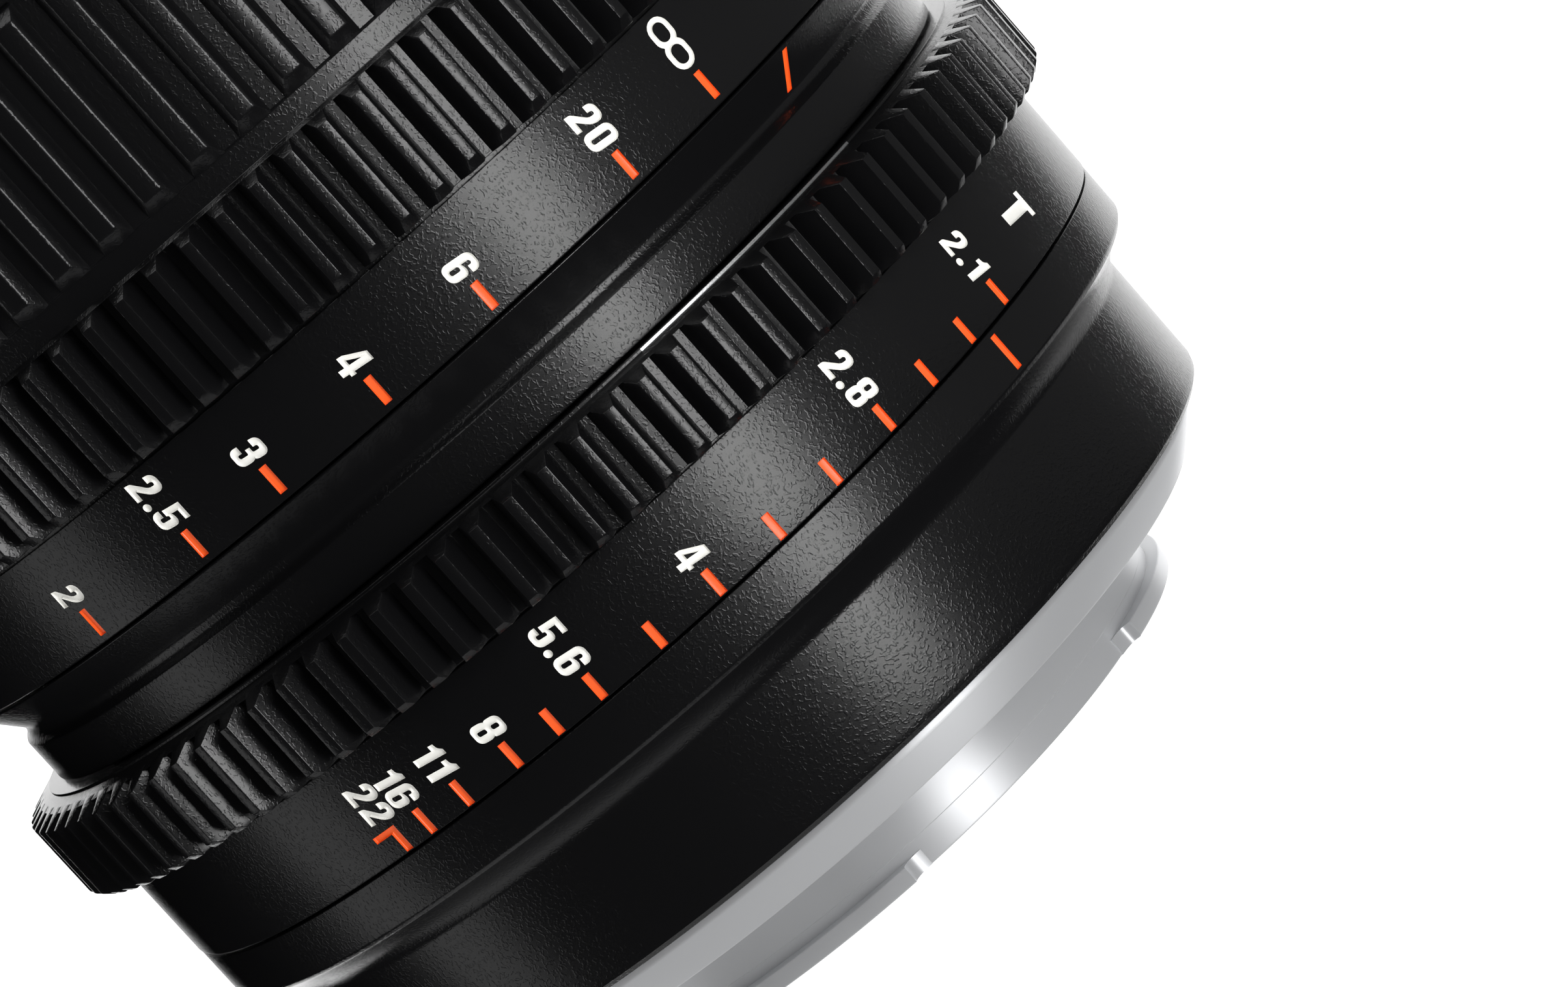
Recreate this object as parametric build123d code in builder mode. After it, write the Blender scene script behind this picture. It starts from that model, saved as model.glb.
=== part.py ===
from build123d import *
import math
import os

os.makedirs("parts", exist_ok=True)

# A manual prime lens for video work, in millimetres.
# The origin is the centre of the mount's bearing face, +Z runs along the
# optical axis towards the front glass, and the aperture index is at +Y.
# Angles are in degrees about +Z, measured from +X.

# Clearances
run_gap = 0.05          # radial, between a turning or sliding piece and its seat
ring_gap = 0.17         # axial, at the ends of a ring that turns
pin_gap = 0.05          # radial, round a pin in a hole or slot
free_gap = 0.4          # round parts that only pass each other

# Broken edges
fine_break = 0.12       # bands of the rear barrel and the aperture ring
edge_break = 0.15       # bands of the other rings
lip_break = 0.1
top_break = 0.35        # mouth of the filter thread
front_break = 0.5
end_break = 0.4         # front end of the focus ring
rear_break = 0.3        # rear edges of the index band and the front barrel
wide_break = 0.25       # radius lost at the index band's rear edge and the flange's rim

# Teeth that a drive gear of 0.8 module meets, alike on both rings
gear_module = 0.8
gear_teeth = 98
gear_root_depth = 1.8
gear_top_width = 0.70
gear_floor_width = 0.52
gap_start = 0.05        # tooth gaps begin behind the gear's rear face

# Walls, from the teeth inwards
under_teeth = 1.85      # ring wall between the teeth and the cam sleeve
sleeve_wall = 1.85
land_height = 1.05      # bearing lands above the guide barrel
guide_wall = 1.4
block_wall = 1.7

# Mount flange and its bayonet
spigot_r = 24.4
spigot_len = 5.3
spigot_wall = 3.4
lug_count = 3
lug_height = 0.9
lug_thick = 1.2
lug_span = 67.2
lug_angle = 14.85       # middle of the first lug
flange_set_in = 1.35    # flange edge inside the rear barrel's
cone_run = 2.45
cone_len = 2.6
flange_len = 3.1
lock_notch_r = 1.6
lock_notch_out = 4.5    # outside the spigot
lock_notch_angle = 196.0
lock_notch_depth = 1.5
mount_screw_count = 4
mount_screw_out = 3.6   # screw circle outside the spigot
mount_screw_r = 1.0
mount_screw_head_r = 1.9
mount_screw_head_len = 1.0
mount_screw_len = 6.2
mount_screw_sunk = 0.1  # heads below the bearing face
cross_len = 1.7         # cross slot in a mount screw's head
cross_width = 0.4
cross_depth = 0.45
mount_screw_angle = 40.0
shim_thick = 0.2
shim_inset = 0.4        # shim's edges inside the guide barrel's base

# Rear barrel, with its index band
barrel_wall = 1.4
barrel_round = 0.9
barrel_len = 8.5
cove_len = 2.25
cove_mid = 0.75         # a point of the cove's curve, as a share of its length
cove_mid_rise = 0.75    # and how far that point stands above the barrel
index_band_drop = 2.6   # below the tooth tips, as are the other drops
index_band_len = 3.43
index_len = 2.5
index_start = 0.35      # from the band's front edge
index_angle = 90.0

# Aperture ring
t_band_drop = 2.55
t_band_len = 6.85
edge_groove = 0.25      # groove between a scale band and its gear
edge_groove_depth = 0.35
t_gear_len = 6.3
t_rim_len = 0.37
t_rim_web = 0.18        # left between the tooth gaps and the rim
t_rear_chamfer = 0.5
gear_rear_fall = 0.55   # radius lost over either gear's rear chamfer
gear_front_chamfer = 0.65
t_gear_tooth_angle = 74.33

# Middle barrel
mid_wall = 3.15
mid_band_len = 3.1
mid_cove_len = 3.4
mid_valley_len = 1.0    # of the cove's rounded floor; the rest slopes up to the lip
mid_valley_drop = 0.55  # below the middle band
mid_slope_drop = 0.4
mid_index_end = 0.2     # focus index, from the lip
mid_lip_drop = 0.2      # below the focus band
mid_lip_len = 0.1
focus_index_angle = 93.1

# Focus ring
f_band_drop = 1.6
f_band_len = 6.8
f_gear_len = 8.35
f_rear_chamfer = 0.7
f_gear_tooth_angle = 65.0
f_plain_drop = 1.1
f_plain_len = 1.7
grip_len = 14.2
grip_depth = 0.9
grip_ribs = 72
grip_groove_width = 1.5
grip_slope = 0.2        # how much a groove widens towards its mouth, of its depth
f_end_len = 1.5
f_end_drop = 0.5
ring_screw_r = 0.8
ring_screw_count = 3
ring_screw_angle = 30.0
ring_screw_bite = 1.0   # how far a ring screw goes into the sleeve or barrel

# Front barrel, with a 77 mm filter thread drawn at its crest
front_len = 16.7
front_gap = 0.3
filter_wall = 1.9
filter_ledge = 1.1
filter_bore_len = 4.4
front_seat_len = 7.7
front_floor_len = 1.0
front_screw_inset = 2.9

# Guide barrel, the fixed tube that carries the rings
guide_base_in = 3.0     # base bore inside the mount's screw circle
guide_base_len = 5.0
land_len = 2.6

# Optical block and its travel
travel = 5.0
focus_turn = 140.0
focus_rest = 2.0        # turned from the stop past infinity, as photographed
follower_r = 1.25
follower_count = 3
follower_angle = 30.0
follower_inset = 13.8   # from the rear of the focus ring
sleeve_end_gap = 0.8
block_front_extra = 10.0

# Aperture drive
aperture_turn = 79.1
aperture_rest = 4.2     # turned from full open, as photographed
drive_pin_r = 1.0
drive_pin_inset = 8.55  # from the rear of the aperture ring
drive_angle = 180.0
drive_pin_bite = 1.8
fork_wall = 1.6
fork_thick = 1.8
fork_plate = 0.6
fork_past = 0.1         # prongs past the pin when the block is furthest forward

# Iris
blade_count = 10
iris_open_in = 0.2      # iris opening inside the open blades
iris_small_r = 0.91     # at the last stop
blade_inner_r = 9.7
blade_width = 4.9
blade_start_angle = -3.0
blade_end_angle = 115.0
blade_tip_angle = 10.0  # of the rounded tip, past the end
blade_thick = 0.13
blade_pitch = 0.2
pivot_out = 2.6         # blade pivots outside the blades
pivot_pin_r = 0.6
cam_pin_r = 0.5
cam_pin_out = 2.0       # cam pins outside the pivots
cam_pin_angle = 23.0
tab_r = 1.1
iris_ring_out = 2.4     # cam ring's rim outside the cam pins
iris_ring_in = 4.0      # and its bore inside the pivots
iris_ring_thick = 0.8
iris_plate = 1.5
iris_above_pin = 2.2    # iris plate above the drive pin
iris_cover_thick = 0.8
iris_cover_step = 0.9   # cover hole wider than the opening
iris_screw_r = 0.7
iris_screw_head_r = 1.26
iris_screw_head_len = 0.6
iris_screw_bite = 2.0   # into the housing's wall
rear_screw_bite = 1.0   # into the iris plate
iris_screw_count = 3
iris_screw_angle = 30.0  # clear of the fork's window
cover_screw_out = 2.9   # cover screws outside the cam ring

# Front cell and its glass: edge radius, edge planes and how far each face bulges
cell_step = 1.5
cell_wall = 3.25        # at the first glass
front_cell_below = 1.6  # cell's rear end above the iris cover
doublet_in = 4.5        # each glass's edge inside the one before it
glass_5_edge = 6.0
glass_5_hollow = 1.5
glass_4_edge = 4.0
glass_4_front = 2.0
glass_45_bulge = 3.0
doublet_ring_len = 1.5
glass_3_in = 4.0
glass_3_gap = 5.0       # from the doublet's front edge to the next seat
glass_3_edge = 3.0
glass_3_front = 3.0
glass_3_hollow = 2.5
glass_2_in = 3.0
glass_2_gap = 6.5
glass_2_edge = 4.5
glass_2_front = 1.5
glass_2_rear = 2.0
glass_1_gap = 5.5
glass_1_edge = 3.5
glass_1_front = 3.2
glass_1_hollow = 5.0
keeper_len = 2.6
keeper_wall = 1.3
rim_gap = 0.1           # between a keeper's bore and the curved part of the glass

# Rear cell and its glass
rear_cell_r = 16.5
rear_flange_gap = 1.55  # inside the fork
rear_flange_len = 1.5
glass_6_in = 1.0        # inside the eighth glass
seat_width = 0.8
glass_6_inset = 0.5
glass_6_edge = 4.2
glass_67_bulge = 1.4
glass_6_hollow = 1.2
glass_7_edge = 1.8
glass_7_rear = 1.2
rear_seat = 1.6
glass_8_in = 0.8        # inside the last glass
glass_8_edge = 2.0
glass_8_hollow = 0.8
glass_8_rear = 1.6
rear_spacer_len = 3.0
rear_cell_wall = 2.7
glass_9_edge = 2.0
glass_9_front = 0.9
glass_9_rear = 1.2
rear_keeper_len = 2.0
rear_screw_out = 5.0    # screws outside the rear cell

# Baffles
baffle_gap = 0.5        # round the front cell
baffle_steps = 5
baffle_len = 3.4
baffle_lip = 0.8        # width of the baffle's top
baffle_tread = 0.5      # of each step's width
baffle_riser = 0.9      # of each step's height
rear_baffle_seat = 2.0  # wider than the throat
rear_baffle_thick = 1.0
rear_window_x = 27.0
rear_window_y = 20.0
rear_window_corner = 3.0

# Paint marks, cut as shallow grooves
mark_width = 0.55
mark_depth = 0.15
t_mark_len = 1.9
f_mark_len = 1.9
t_mark_inset = 0.1      # from the band's rear edge
f_mark_inset = 0.4
t_mark_angles = (4.2, -2.2, -8.66, -15.0, -22.33, -29.5, -36.77, -43.7, -50.68, -55.71,
                 -60.64, -66.75, -71.57, -74.88)
infinity_angle = -10.0  # from the focus index, as photographed
near_offset = 4.1
turn_per_dioptre = 144.5
focus_feet = (20, 6, 4, 3, 2.5, 2, 1.5, 1.2)

# Stations along the axis, from the mount forwards
z_cove = flange_len + barrel_len
z_index = z_cove + cove_len
z_rear_end = z_index + index_band_len
z_t = z_rear_end + ring_gap
z_t_gear = z_t + t_band_len + edge_groove
z_t_rim = z_t_gear + t_gear_len
z_t_end = z_t_rim + t_rim_len
z_mid = z_t_end + ring_gap
z_mid_cove = z_mid + mid_band_len
z_mid_lip = z_mid_cove + mid_cove_len
z_mid_end = z_mid_lip + mid_lip_len
z_f = z_mid_end + ring_gap
z_f_gear = z_f + f_band_len + edge_groove
z_f_plain = z_f_gear + f_gear_len
z_grip = z_f_plain + f_plain_len
z_grip_end = z_grip + grip_len
z_f_end = z_grip_end + f_end_len
z_front = z_f_end + front_gap
z_top = z_front + front_len

# Values that follow from the ones above
gear_tip_r = gear_module * (gear_teeth + 2) / 2
gear_root_r = gear_tip_r - gear_root_depth
front_r = gear_tip_r
grip_r = gear_tip_r
sleeve_r = gear_root_r - under_teeth
ring_bore_r = sleeve_r - sleeve_wall
land_r = ring_bore_r - run_gap
guide_r = land_r - land_height
guide_bore_r = guide_r - guide_wall
block_r = guide_bore_r - run_gap
block_bore_r = block_r - block_wall
barrel_r = guide_r + barrel_wall
mid_band_r = guide_r + mid_wall
index_band_r = gear_tip_r - index_band_drop
t_band_r = gear_tip_r - t_band_drop
f_band_r = gear_tip_r - f_band_drop
f_plain_r = gear_tip_r - f_plain_drop
f_end_r = gear_tip_r - f_end_drop
mid_lip_r = f_band_r - mid_lip_drop
filter_bore_r = front_r - filter_wall
front_wall_bore_r = filter_bore_r - filter_ledge
baffle_bore_r = block_bore_r + baffle_gap
flange_front_r = barrel_r - flange_set_in
flange_rear_r = flange_front_r - cone_run
throat_r = spigot_r - spigot_wall
lug_r = spigot_r + lug_height
mount_screw_pcd_r = spigot_r + mount_screw_out
guide_base_r = mount_screw_pcd_r - guide_base_in
rear_baffle_r = throat_r + rear_baffle_seat
drive_z = z_t + drive_pin_inset
iris_z = drive_z + iris_above_pin
follower_z = z_f + follower_inset
slide_back = travel * focus_rest / focus_turn
slide_on = travel - slide_back
blades_z = iris_z + iris_plate + 0.1
cam_z = blades_z + blade_count * blade_pitch + 0.2
wall_top = cam_z + iris_ring_thick + fork_plate + 0.2
cover_top = wall_top + iris_cover_thick
iris_open_r = blade_inner_r - iris_open_in
pivot_pcd_r = blade_inner_r + blade_width + pivot_out
cam_pin_pcd_r = pivot_pcd_r + cam_pin_out
iris_ring_r = cam_pin_pcd_r + iris_ring_out
iris_ring_inner_r = pivot_pcd_r - iris_ring_in
iris_cover_hole_r = iris_open_r + iris_cover_step
cover_screw_pcd_r = iris_ring_r + cover_screw_out
blade_turn = 2 * math.degrees(math.asin((blade_inner_r - iris_small_r) / (2 * pivot_pcd_r)))
blade_rest = blade_turn * aperture_rest / aperture_turn
fork_r = block_bore_r - free_gap
fork_inner_r = fork_r - fork_thick
fork_half = math.degrees((drive_pin_r + pin_gap + fork_wall) / fork_inner_r)
glass_1_r = block_bore_r - cell_wall
glass_2_r = glass_1_r - glass_2_in
glass_3_r = glass_2_r - glass_3_in
doublet_r = glass_3_r - doublet_in
glass_9_r = rear_cell_r - rear_cell_wall
glass_8_r = glass_9_r - glass_8_in
glass_6_r = glass_8_r - glass_6_in
rear_flange_r = fork_inner_r - rear_flange_gap
rear_screw_pcd_r = rear_cell_r + rear_screw_out


def turned(steps, mode=Mode.ADD):
    """Turns a closed outline about Z. A step is (radius, z), or (middle, end) for an arc."""
    with BuildSketch(Plane.XZ) as face:
        with BuildLine():
            last = steps[0]
            for step in steps[1:] + steps[:1]:
                if isinstance(step[0], tuple):
                    ThreePointArc(last, step[0], step[1])
                    last = step[1]
                else:
                    Line(last, step)
                    last = step
        make_face()
    revolve(face.sketch, axis=Axis.Z, mode=mode)


def tube(inner, outer, low, high, mode=Mode.ADD):
    """A plain ring about Z."""
    turned([(inner, low), (outer, low), (outer, high), (inner, high)], mode)


def sector(inner, outer, low, high, start, span, mode=Mode.ADD):
    """Part of a ring about Z, from an angle onwards."""
    with BuildSketch(Plane.XZ.rotated((0, 0, start))) as face:
        with Locations(((inner + outer) / 2, (low + high) / 2)):
            Rectangle(outer - inner, high - low)
    revolve(face.sketch, axis=Axis.Z, revolution_arc=span, mode=mode)


def polar(radius, angle, height=0.0):
    """A point at an angle about Z."""
    turn = math.radians(angle)
    return (radius * math.cos(turn), radius * math.sin(turn), height)


def radial_rod(rod_r, inner, outer, height, angle, mode=Mode.ADD):
    """A round rod that points away from the axis."""
    ray = Plane(origin=polar(inner, angle, height), z_dir=polar(1, angle))
    with BuildSketch(ray) as face:
        Circle(rod_r)
    extrude(face.sketch, amount=outer - inner, mode=mode)


def axial_rods(rod_r, pcd_r, count, first, low, high, mode=Mode.ADD):
    """Round rods along Z, spread evenly on a circle."""
    with BuildSketch(Plane.XY.offset(low)) as face:
        with PolarLocations(pcd_r, count, first):
            Circle(rod_r)
    extrude(face.sketch, amount=high - low, mode=mode)


def even(count, first):
    """Angles spread evenly round the axis."""
    return [first + 360 * i / count for i in range(count)]


def tooth_gaps(root_r, tip_r, floor, mouth, count, first, low, high):
    """Cuts the gaps between teeth or ribs."""
    reach = tip_r + 1
    slope = (mouth - floor) / 2 / (tip_r - root_r)
    wide = floor / 2 + slope * (reach - root_r)
    with BuildSketch(Plane.XY.offset(low)) as face:
        with PolarLocations(0, count, first + 180 / count):
            Polygon((root_r, -floor / 2), (reach, -wide), (reach, wide), (root_r, floor / 2), align=None)
    extrude(face.sketch, amount=high - low, mode=Mode.SUBTRACT)


def gear_gaps(first, low, high):
    """The tooth gaps of a follow-focus gear."""
    mouth = 2 * math.pi * gear_tip_r / gear_teeth - gear_top_width
    tooth_gaps(gear_root_r, gear_tip_r, gear_floor_width, mouth, gear_teeth, first, low, high)


def marks(surface_r, angles, low, length):
    """Cuts a paint groove along Z at each angle."""
    with BuildSketch(Plane.XY.offset(low)) as face:
        for angle in angles:
            with Locations(Location(polar(surface_r, angle), angle)):
                Rectangle(2 * mark_depth, mark_width)
    extrude(face.sketch, amount=length, mode=Mode.SUBTRACT)


def bulge(clear_r, edge, height):
    """One lens face: its top on the axis, and an arc's middle on the way to its rim."""
    size = abs(height)
    ball = (clear_r ** 2 + size ** 2) / (2 * size)
    fall = ball - math.sqrt(ball ** 2 - (clear_r / 2) ** 2)
    top = edge + height
    return top, (clear_r / 2, top - math.copysign(fall, height))


def lens(edge_r, low, high, rear, front, rear_bore=None, front_bore=None):
    """A glass element: rim planes, how far its faces bulge along +Z, and the bores beside it.

    Each face is ground inside the ring that bears on its flat rim."""
    low_r = (rear_bore or edge_r) - keeper_wall - rim_gap
    high_r = (front_bore or edge_r) - keeper_wall - rim_gap
    low_top, low_mid = bulge(low_r, low, rear)
    high_top, high_mid = bulge(high_r, high, front)
    turned([(0, low_top), (low_mid, (low_r, low)), (edge_r, low), (edge_r, high),
            (high_r, high), (high_mid, (0, high_top))])


def finish(part, name):
    """Names a piece and writes its file."""
    part.label = name
    export_step(part, f"parts/{name}.step")


# The fixed body

with BuildPart() as mount_flange:
    turned([(throat_r, -spigot_len), (spigot_r, -spigot_len), (spigot_r, 0),
            (flange_rear_r - edge_break, 0), (flange_rear_r, edge_break),
            (flange_front_r - wide_break, cone_len - lip_break),
            (flange_front_r, cone_len), (flange_front_r, flange_len), (throat_r, flange_len)])
    for angle in even(lug_count, lug_angle - lug_span / 2):
        sector(spigot_r - 0.5, lug_r, -spigot_len, -spigot_len + lug_thick, angle, lug_span)
    tube(throat_r - 1, rear_baffle_r, flange_len - rear_baffle_thick, flange_len, Mode.SUBTRACT)
    axial_rods(mount_screw_r, mount_screw_pcd_r, mount_screw_count, mount_screw_angle,
               -1, flange_len + 1, Mode.SUBTRACT)
    axial_rods(mount_screw_head_r, mount_screw_pcd_r, mount_screw_count, mount_screw_angle,
               -1, mount_screw_head_len, Mode.SUBTRACT)
    with BuildSketch(Plane.XY.offset(-1)) as notch:
        with Locations(polar(spigot_r + lock_notch_out, lock_notch_angle)):
            Circle(lock_notch_r)
    extrude(notch.sketch, amount=1 + lock_notch_depth, mode=Mode.SUBTRACT)
finish(mount_flange.part, "mount_flange")

with BuildPart() as mount_screws:
    axial_rods(mount_screw_head_r - pin_gap, mount_screw_pcd_r, mount_screw_count, mount_screw_angle,
               mount_screw_sunk, mount_screw_head_len)
    axial_rods(mount_screw_r, mount_screw_pcd_r, mount_screw_count, mount_screw_angle,
               mount_screw_head_len, mount_screw_len)
    for angle in even(mount_screw_count, mount_screw_angle):
        for turn in (0, 90):
            with BuildSketch(Plane.XY) as slot:
                with Locations(Location(polar(mount_screw_pcd_r, angle), angle + turn)):
                    Rectangle(cross_len, cross_width)
            extrude(slot.sketch, amount=mount_screw_sunk + cross_depth, mode=Mode.SUBTRACT)
finish(mount_screws.part, "mount_screws")

with BuildPart() as mount_shim:
    tube(guide_base_r + shim_inset, guide_r - shim_inset, flange_len, flange_len + shim_thick)
    axial_rods(mount_screw_r, mount_screw_pcd_r, mount_screw_count, mount_screw_angle,
               flange_len - 1, flange_len + 1, Mode.SUBTRACT)
finish(mount_shim.part, "mount_shim")

with BuildPart() as rear_baffle:
    tube(0, rear_baffle_r, flange_len - rear_baffle_thick, flange_len)
    with BuildSketch(Plane.XY.offset(0)) as window:
        RectangleRounded(rear_window_x, rear_window_y, rear_window_corner)
    extrude(window.sketch, amount=flange_len + 1, mode=Mode.SUBTRACT)
finish(rear_baffle.part, "rear_baffle")

with BuildPart() as rear_barrel:
    turned([(guide_r, flange_len), (barrel_r - barrel_round, flange_len),
            ((barrel_r - barrel_round * 0.293, flange_len + barrel_round * 0.293),
             (barrel_r, flange_len + barrel_round)),
            (barrel_r, z_cove - lip_break), (barrel_r - lip_break, z_cove),
            ((barrel_r + cove_mid_rise, z_cove + cove_mid * cove_len),
             (index_band_r - wide_break, z_index)),
            (index_band_r, z_index + rear_break), (index_band_r, z_rear_end - fine_break),
            (index_band_r - fine_break, z_rear_end), (guide_r, z_rear_end)])
    marks(index_band_r, [index_angle], z_rear_end - index_start - index_len, index_len)
finish(rear_barrel.part, "rear_barrel")

slope_r = mid_band_r - mid_slope_drop
z_slope = z_mid_cove + mid_valley_len
slope_rise = (mid_lip_r - slope_r) / (z_mid_lip - z_slope)
with BuildPart() as mid_barrel:
    turned([(guide_r, z_mid), (mid_band_r - edge_break, z_mid), (mid_band_r, z_mid + edge_break),
            (mid_band_r, z_mid_cove - edge_break), (mid_band_r - lip_break, z_mid_cove),
            ((mid_band_r - mid_valley_drop, z_mid_cove + mid_valley_len / 2), (slope_r, z_slope)),
            (mid_lip_r, z_mid_lip), (mid_lip_r - lip_break, z_mid_end), (guide_r, z_mid_end)])
    # The focus index runs up the cove's slope
    index_r = mid_lip_r - mid_index_end * slope_rise
    with BuildSketch(Plane.XZ.rotated((0, 0, focus_index_angle))) as section:
        Polygon((slope_r - mark_depth, z_slope), (index_r - mark_depth, z_mid_lip - mid_index_end),
                (index_r + 1, z_mid_lip - mid_index_end), (index_r + 1, z_slope), align=None)
    extrude(section.sketch, amount=mark_width / 2, both=True, mode=Mode.SUBTRACT)
finish(mid_barrel.part, "mid_barrel")

with BuildPart() as guide_barrel:
    base = flange_len + shim_thick
    turned([(guide_base_r, base), (guide_r, base), (guide_r, z_t + 1),
            (land_r, z_t + 1), (land_r, z_t + 1 + land_len), (guide_r, z_t + 1 + land_len),
            (guide_r, z_t_end - 1 - land_len), (land_r, z_t_end - 1 - land_len),
            (land_r, z_t_end - 1), (guide_r, z_t_end - 1),
            (guide_r, z_f + 1), (land_r, z_f + 1), (land_r, z_f + 1 + land_len),
            (guide_r, z_f + 1 + land_len), (guide_r, z_f_end - 1 - land_len),
            (land_r, z_f_end - 1 - land_len), (land_r, z_f_end - 1), (guide_r, z_f_end - 1),
            (guide_r, z_front + front_seat_len), (guide_bore_r, z_front + front_seat_len),
            (guide_bore_r, base + guide_base_len), (guide_base_r, base + guide_base_len)])
    axial_rods(mount_screw_r, mount_screw_pcd_r, mount_screw_count, mount_screw_angle,
               0, mount_screw_len + 0.3, Mode.SUBTRACT)
    # Window for the aperture drive pin
    room = math.degrees((drive_pin_r + pin_gap) / guide_bore_r) + 0.6
    sector(guide_bore_r - 1, guide_r + 1, drive_z - drive_pin_r - 0.2, drive_z + drive_pin_r + 0.2,
           drive_angle - aperture_rest - room, aperture_turn + 2 * room, Mode.SUBTRACT)
    # Straight slots that stop the optical block from turning
    slot_r = follower_r + pin_gap
    for angle in even(follower_count, follower_angle):
        slot_mid = follower_z + (slide_on - slide_back) / 2
        ray = Plane(origin=polar(guide_bore_r - 1, angle, slot_mid), x_dir=(0, 0, 1),
                    z_dir=polar(1, angle))
        with BuildSketch(ray) as straight_slot:
            SlotOverall(travel + 2 * slot_r + 0.2, 2 * slot_r)
        extrude(straight_slot.sketch, amount=4, mode=Mode.SUBTRACT)
    for angle in even(ring_screw_count, ring_screw_angle):
        radial_rod(ring_screw_r, guide_r - ring_screw_bite, guide_r + 1, z_front + front_screw_inset,
                   angle, Mode.SUBTRACT)
finish(guide_barrel.part, "guide_barrel")

with BuildPart() as front_barrel:
    floor_z = z_front + front_seat_len
    turned([(guide_r, z_front), (front_r - rear_break, z_front),
            (front_r, z_front + rear_break), (front_r, z_top - front_break),
            (front_r - front_break, z_top), (filter_bore_r + top_break, z_top),
            (filter_bore_r, z_top - top_break), (filter_bore_r, z_top - filter_bore_len),
            (front_wall_bore_r, z_top - filter_bore_len),
            (front_wall_bore_r, floor_z + front_floor_len), (guide_bore_r, floor_z + front_floor_len),
            (guide_bore_r, floor_z), (guide_r, floor_z)])
    for angle in even(ring_screw_count, ring_screw_angle):
        radial_rod(ring_screw_r, guide_r - 1, front_r + 1, z_front + front_screw_inset, angle,
                   Mode.SUBTRACT)
finish(front_barrel.part, "front_barrel")

with BuildPart() as front_screws:
    for angle in even(ring_screw_count, ring_screw_angle):
        radial_rod(ring_screw_r, guide_r - ring_screw_bite, front_r - 0.5,
                   z_front + front_screw_inset, angle)
        radial_rod(ring_screw_r / 2, front_r - 1.3, front_r + 1, z_front + front_screw_inset, angle,
                   Mode.SUBTRACT)
finish(front_screws.part, "front_screws")

with BuildPart() as front_baffle:
    low = z_front + front_seat_len + front_floor_len
    rise = baffle_len / baffle_steps
    run = (front_wall_bore_r - baffle_lip - baffle_bore_r) / baffle_steps
    stairs = [(baffle_bore_r, low), (front_wall_bore_r, low), (front_wall_bore_r, low + baffle_len),
              (front_wall_bore_r - baffle_lip, low + baffle_len)]
    for i in range(baffle_steps):
        out = front_wall_bore_r - baffle_lip - run * i
        top = low + baffle_len - rise * i
        step = top - rise * baffle_riser
        stairs += [(out - run * baffle_tread, step), (out - run, step)]
    turned(stairs)
finish(front_baffle.part, "front_baffle")

# The aperture ring and its drive pin

with BuildPart() as aperture_ring:
    z_band_end = z_t + t_band_len
    turned([(ring_bore_r, z_t), (t_band_r - fine_break, z_t), (t_band_r, z_t + fine_break),
            (t_band_r, z_band_end - lip_break), (t_band_r - edge_groove_depth, z_band_end),
            (t_band_r - edge_groove_depth, z_t_gear), (gear_tip_r - gear_rear_fall, z_t_gear),
            (gear_tip_r, z_t_gear + t_rear_chamfer), (gear_tip_r, z_t_rim - gear_front_chamfer),
            (gear_root_r + edge_break, z_t_rim), (t_band_r - lip_break, z_t_end),
            (ring_bore_r, z_t_end)])
    gear_gaps(t_gear_tooth_angle, z_t_gear - gap_start, z_t_rim - t_rim_web)
    marks(t_band_r, [index_angle + a for a in t_mark_angles], z_t + t_mark_inset, t_mark_len)
    radial_rod(drive_pin_r, ring_bore_r - 1, ring_bore_r + drive_pin_bite, drive_z, drive_angle,
               Mode.SUBTRACT)
finish(aperture_ring.part, "aperture_ring")

with BuildPart() as aperture_drive_pin:
    radial_rod(drive_pin_r, fork_inner_r + 0.1, ring_bore_r + drive_pin_bite, drive_z, drive_angle)
finish(aperture_drive_pin.part, "aperture_drive_pin")

# The focus ring and the cam sleeve that it turns

with BuildPart() as focus_ring:
    z_band_end = z_f + f_band_len
    turned([(sleeve_r, z_f), (f_band_r - edge_break, z_f), (f_band_r, z_f + edge_break),
            (f_band_r, z_band_end - lip_break), (f_band_r - edge_groove_depth, z_band_end),
            (f_band_r - edge_groove_depth, z_f_gear), (gear_tip_r - gear_rear_fall, z_f_gear),
            (gear_tip_r, z_f_gear + f_rear_chamfer), (gear_tip_r, z_f_plain - gear_front_chamfer),
            (f_plain_r + edge_break, z_f_plain), (f_plain_r, z_f_plain + edge_break),
            (f_plain_r, z_grip - lip_break),
            (grip_r - grip_depth, z_grip), (grip_r, z_grip + grip_depth),
            (grip_r, z_grip_end - grip_depth), (grip_r - grip_depth, z_grip_end),
            (f_end_r, z_grip_end), (f_end_r, z_f_end - end_break), (f_end_r - end_break, z_f_end),
            (sleeve_r, z_f_end)])
    gear_gaps(f_gear_tooth_angle, z_f_gear - gap_start, z_f_plain - lip_break)
    grip_pitch = 2 * math.pi * grip_r / grip_ribs
    tooth_gaps(grip_r - grip_depth, grip_r, grip_pitch - grip_groove_width - grip_depth,
               grip_pitch - grip_groove_width + grip_depth * grip_slope, grip_ribs, 0, z_grip, z_grip_end)
    focus_marks = [infinity_angle] + [infinity_angle - near_offset - turn_per_dioptre / feet
                                      for feet in focus_feet]
    marks(f_band_r, [focus_index_angle + a for a in focus_marks], z_f + f_mark_inset, f_mark_len)
    for angle in even(ring_screw_count, ring_screw_angle):
        radial_rod(ring_screw_r, sleeve_r - 1, f_plain_r + 1, z_f_plain + f_plain_len / 2, angle,
                   Mode.SUBTRACT)
finish(focus_ring.part, "focus_ring")

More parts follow.
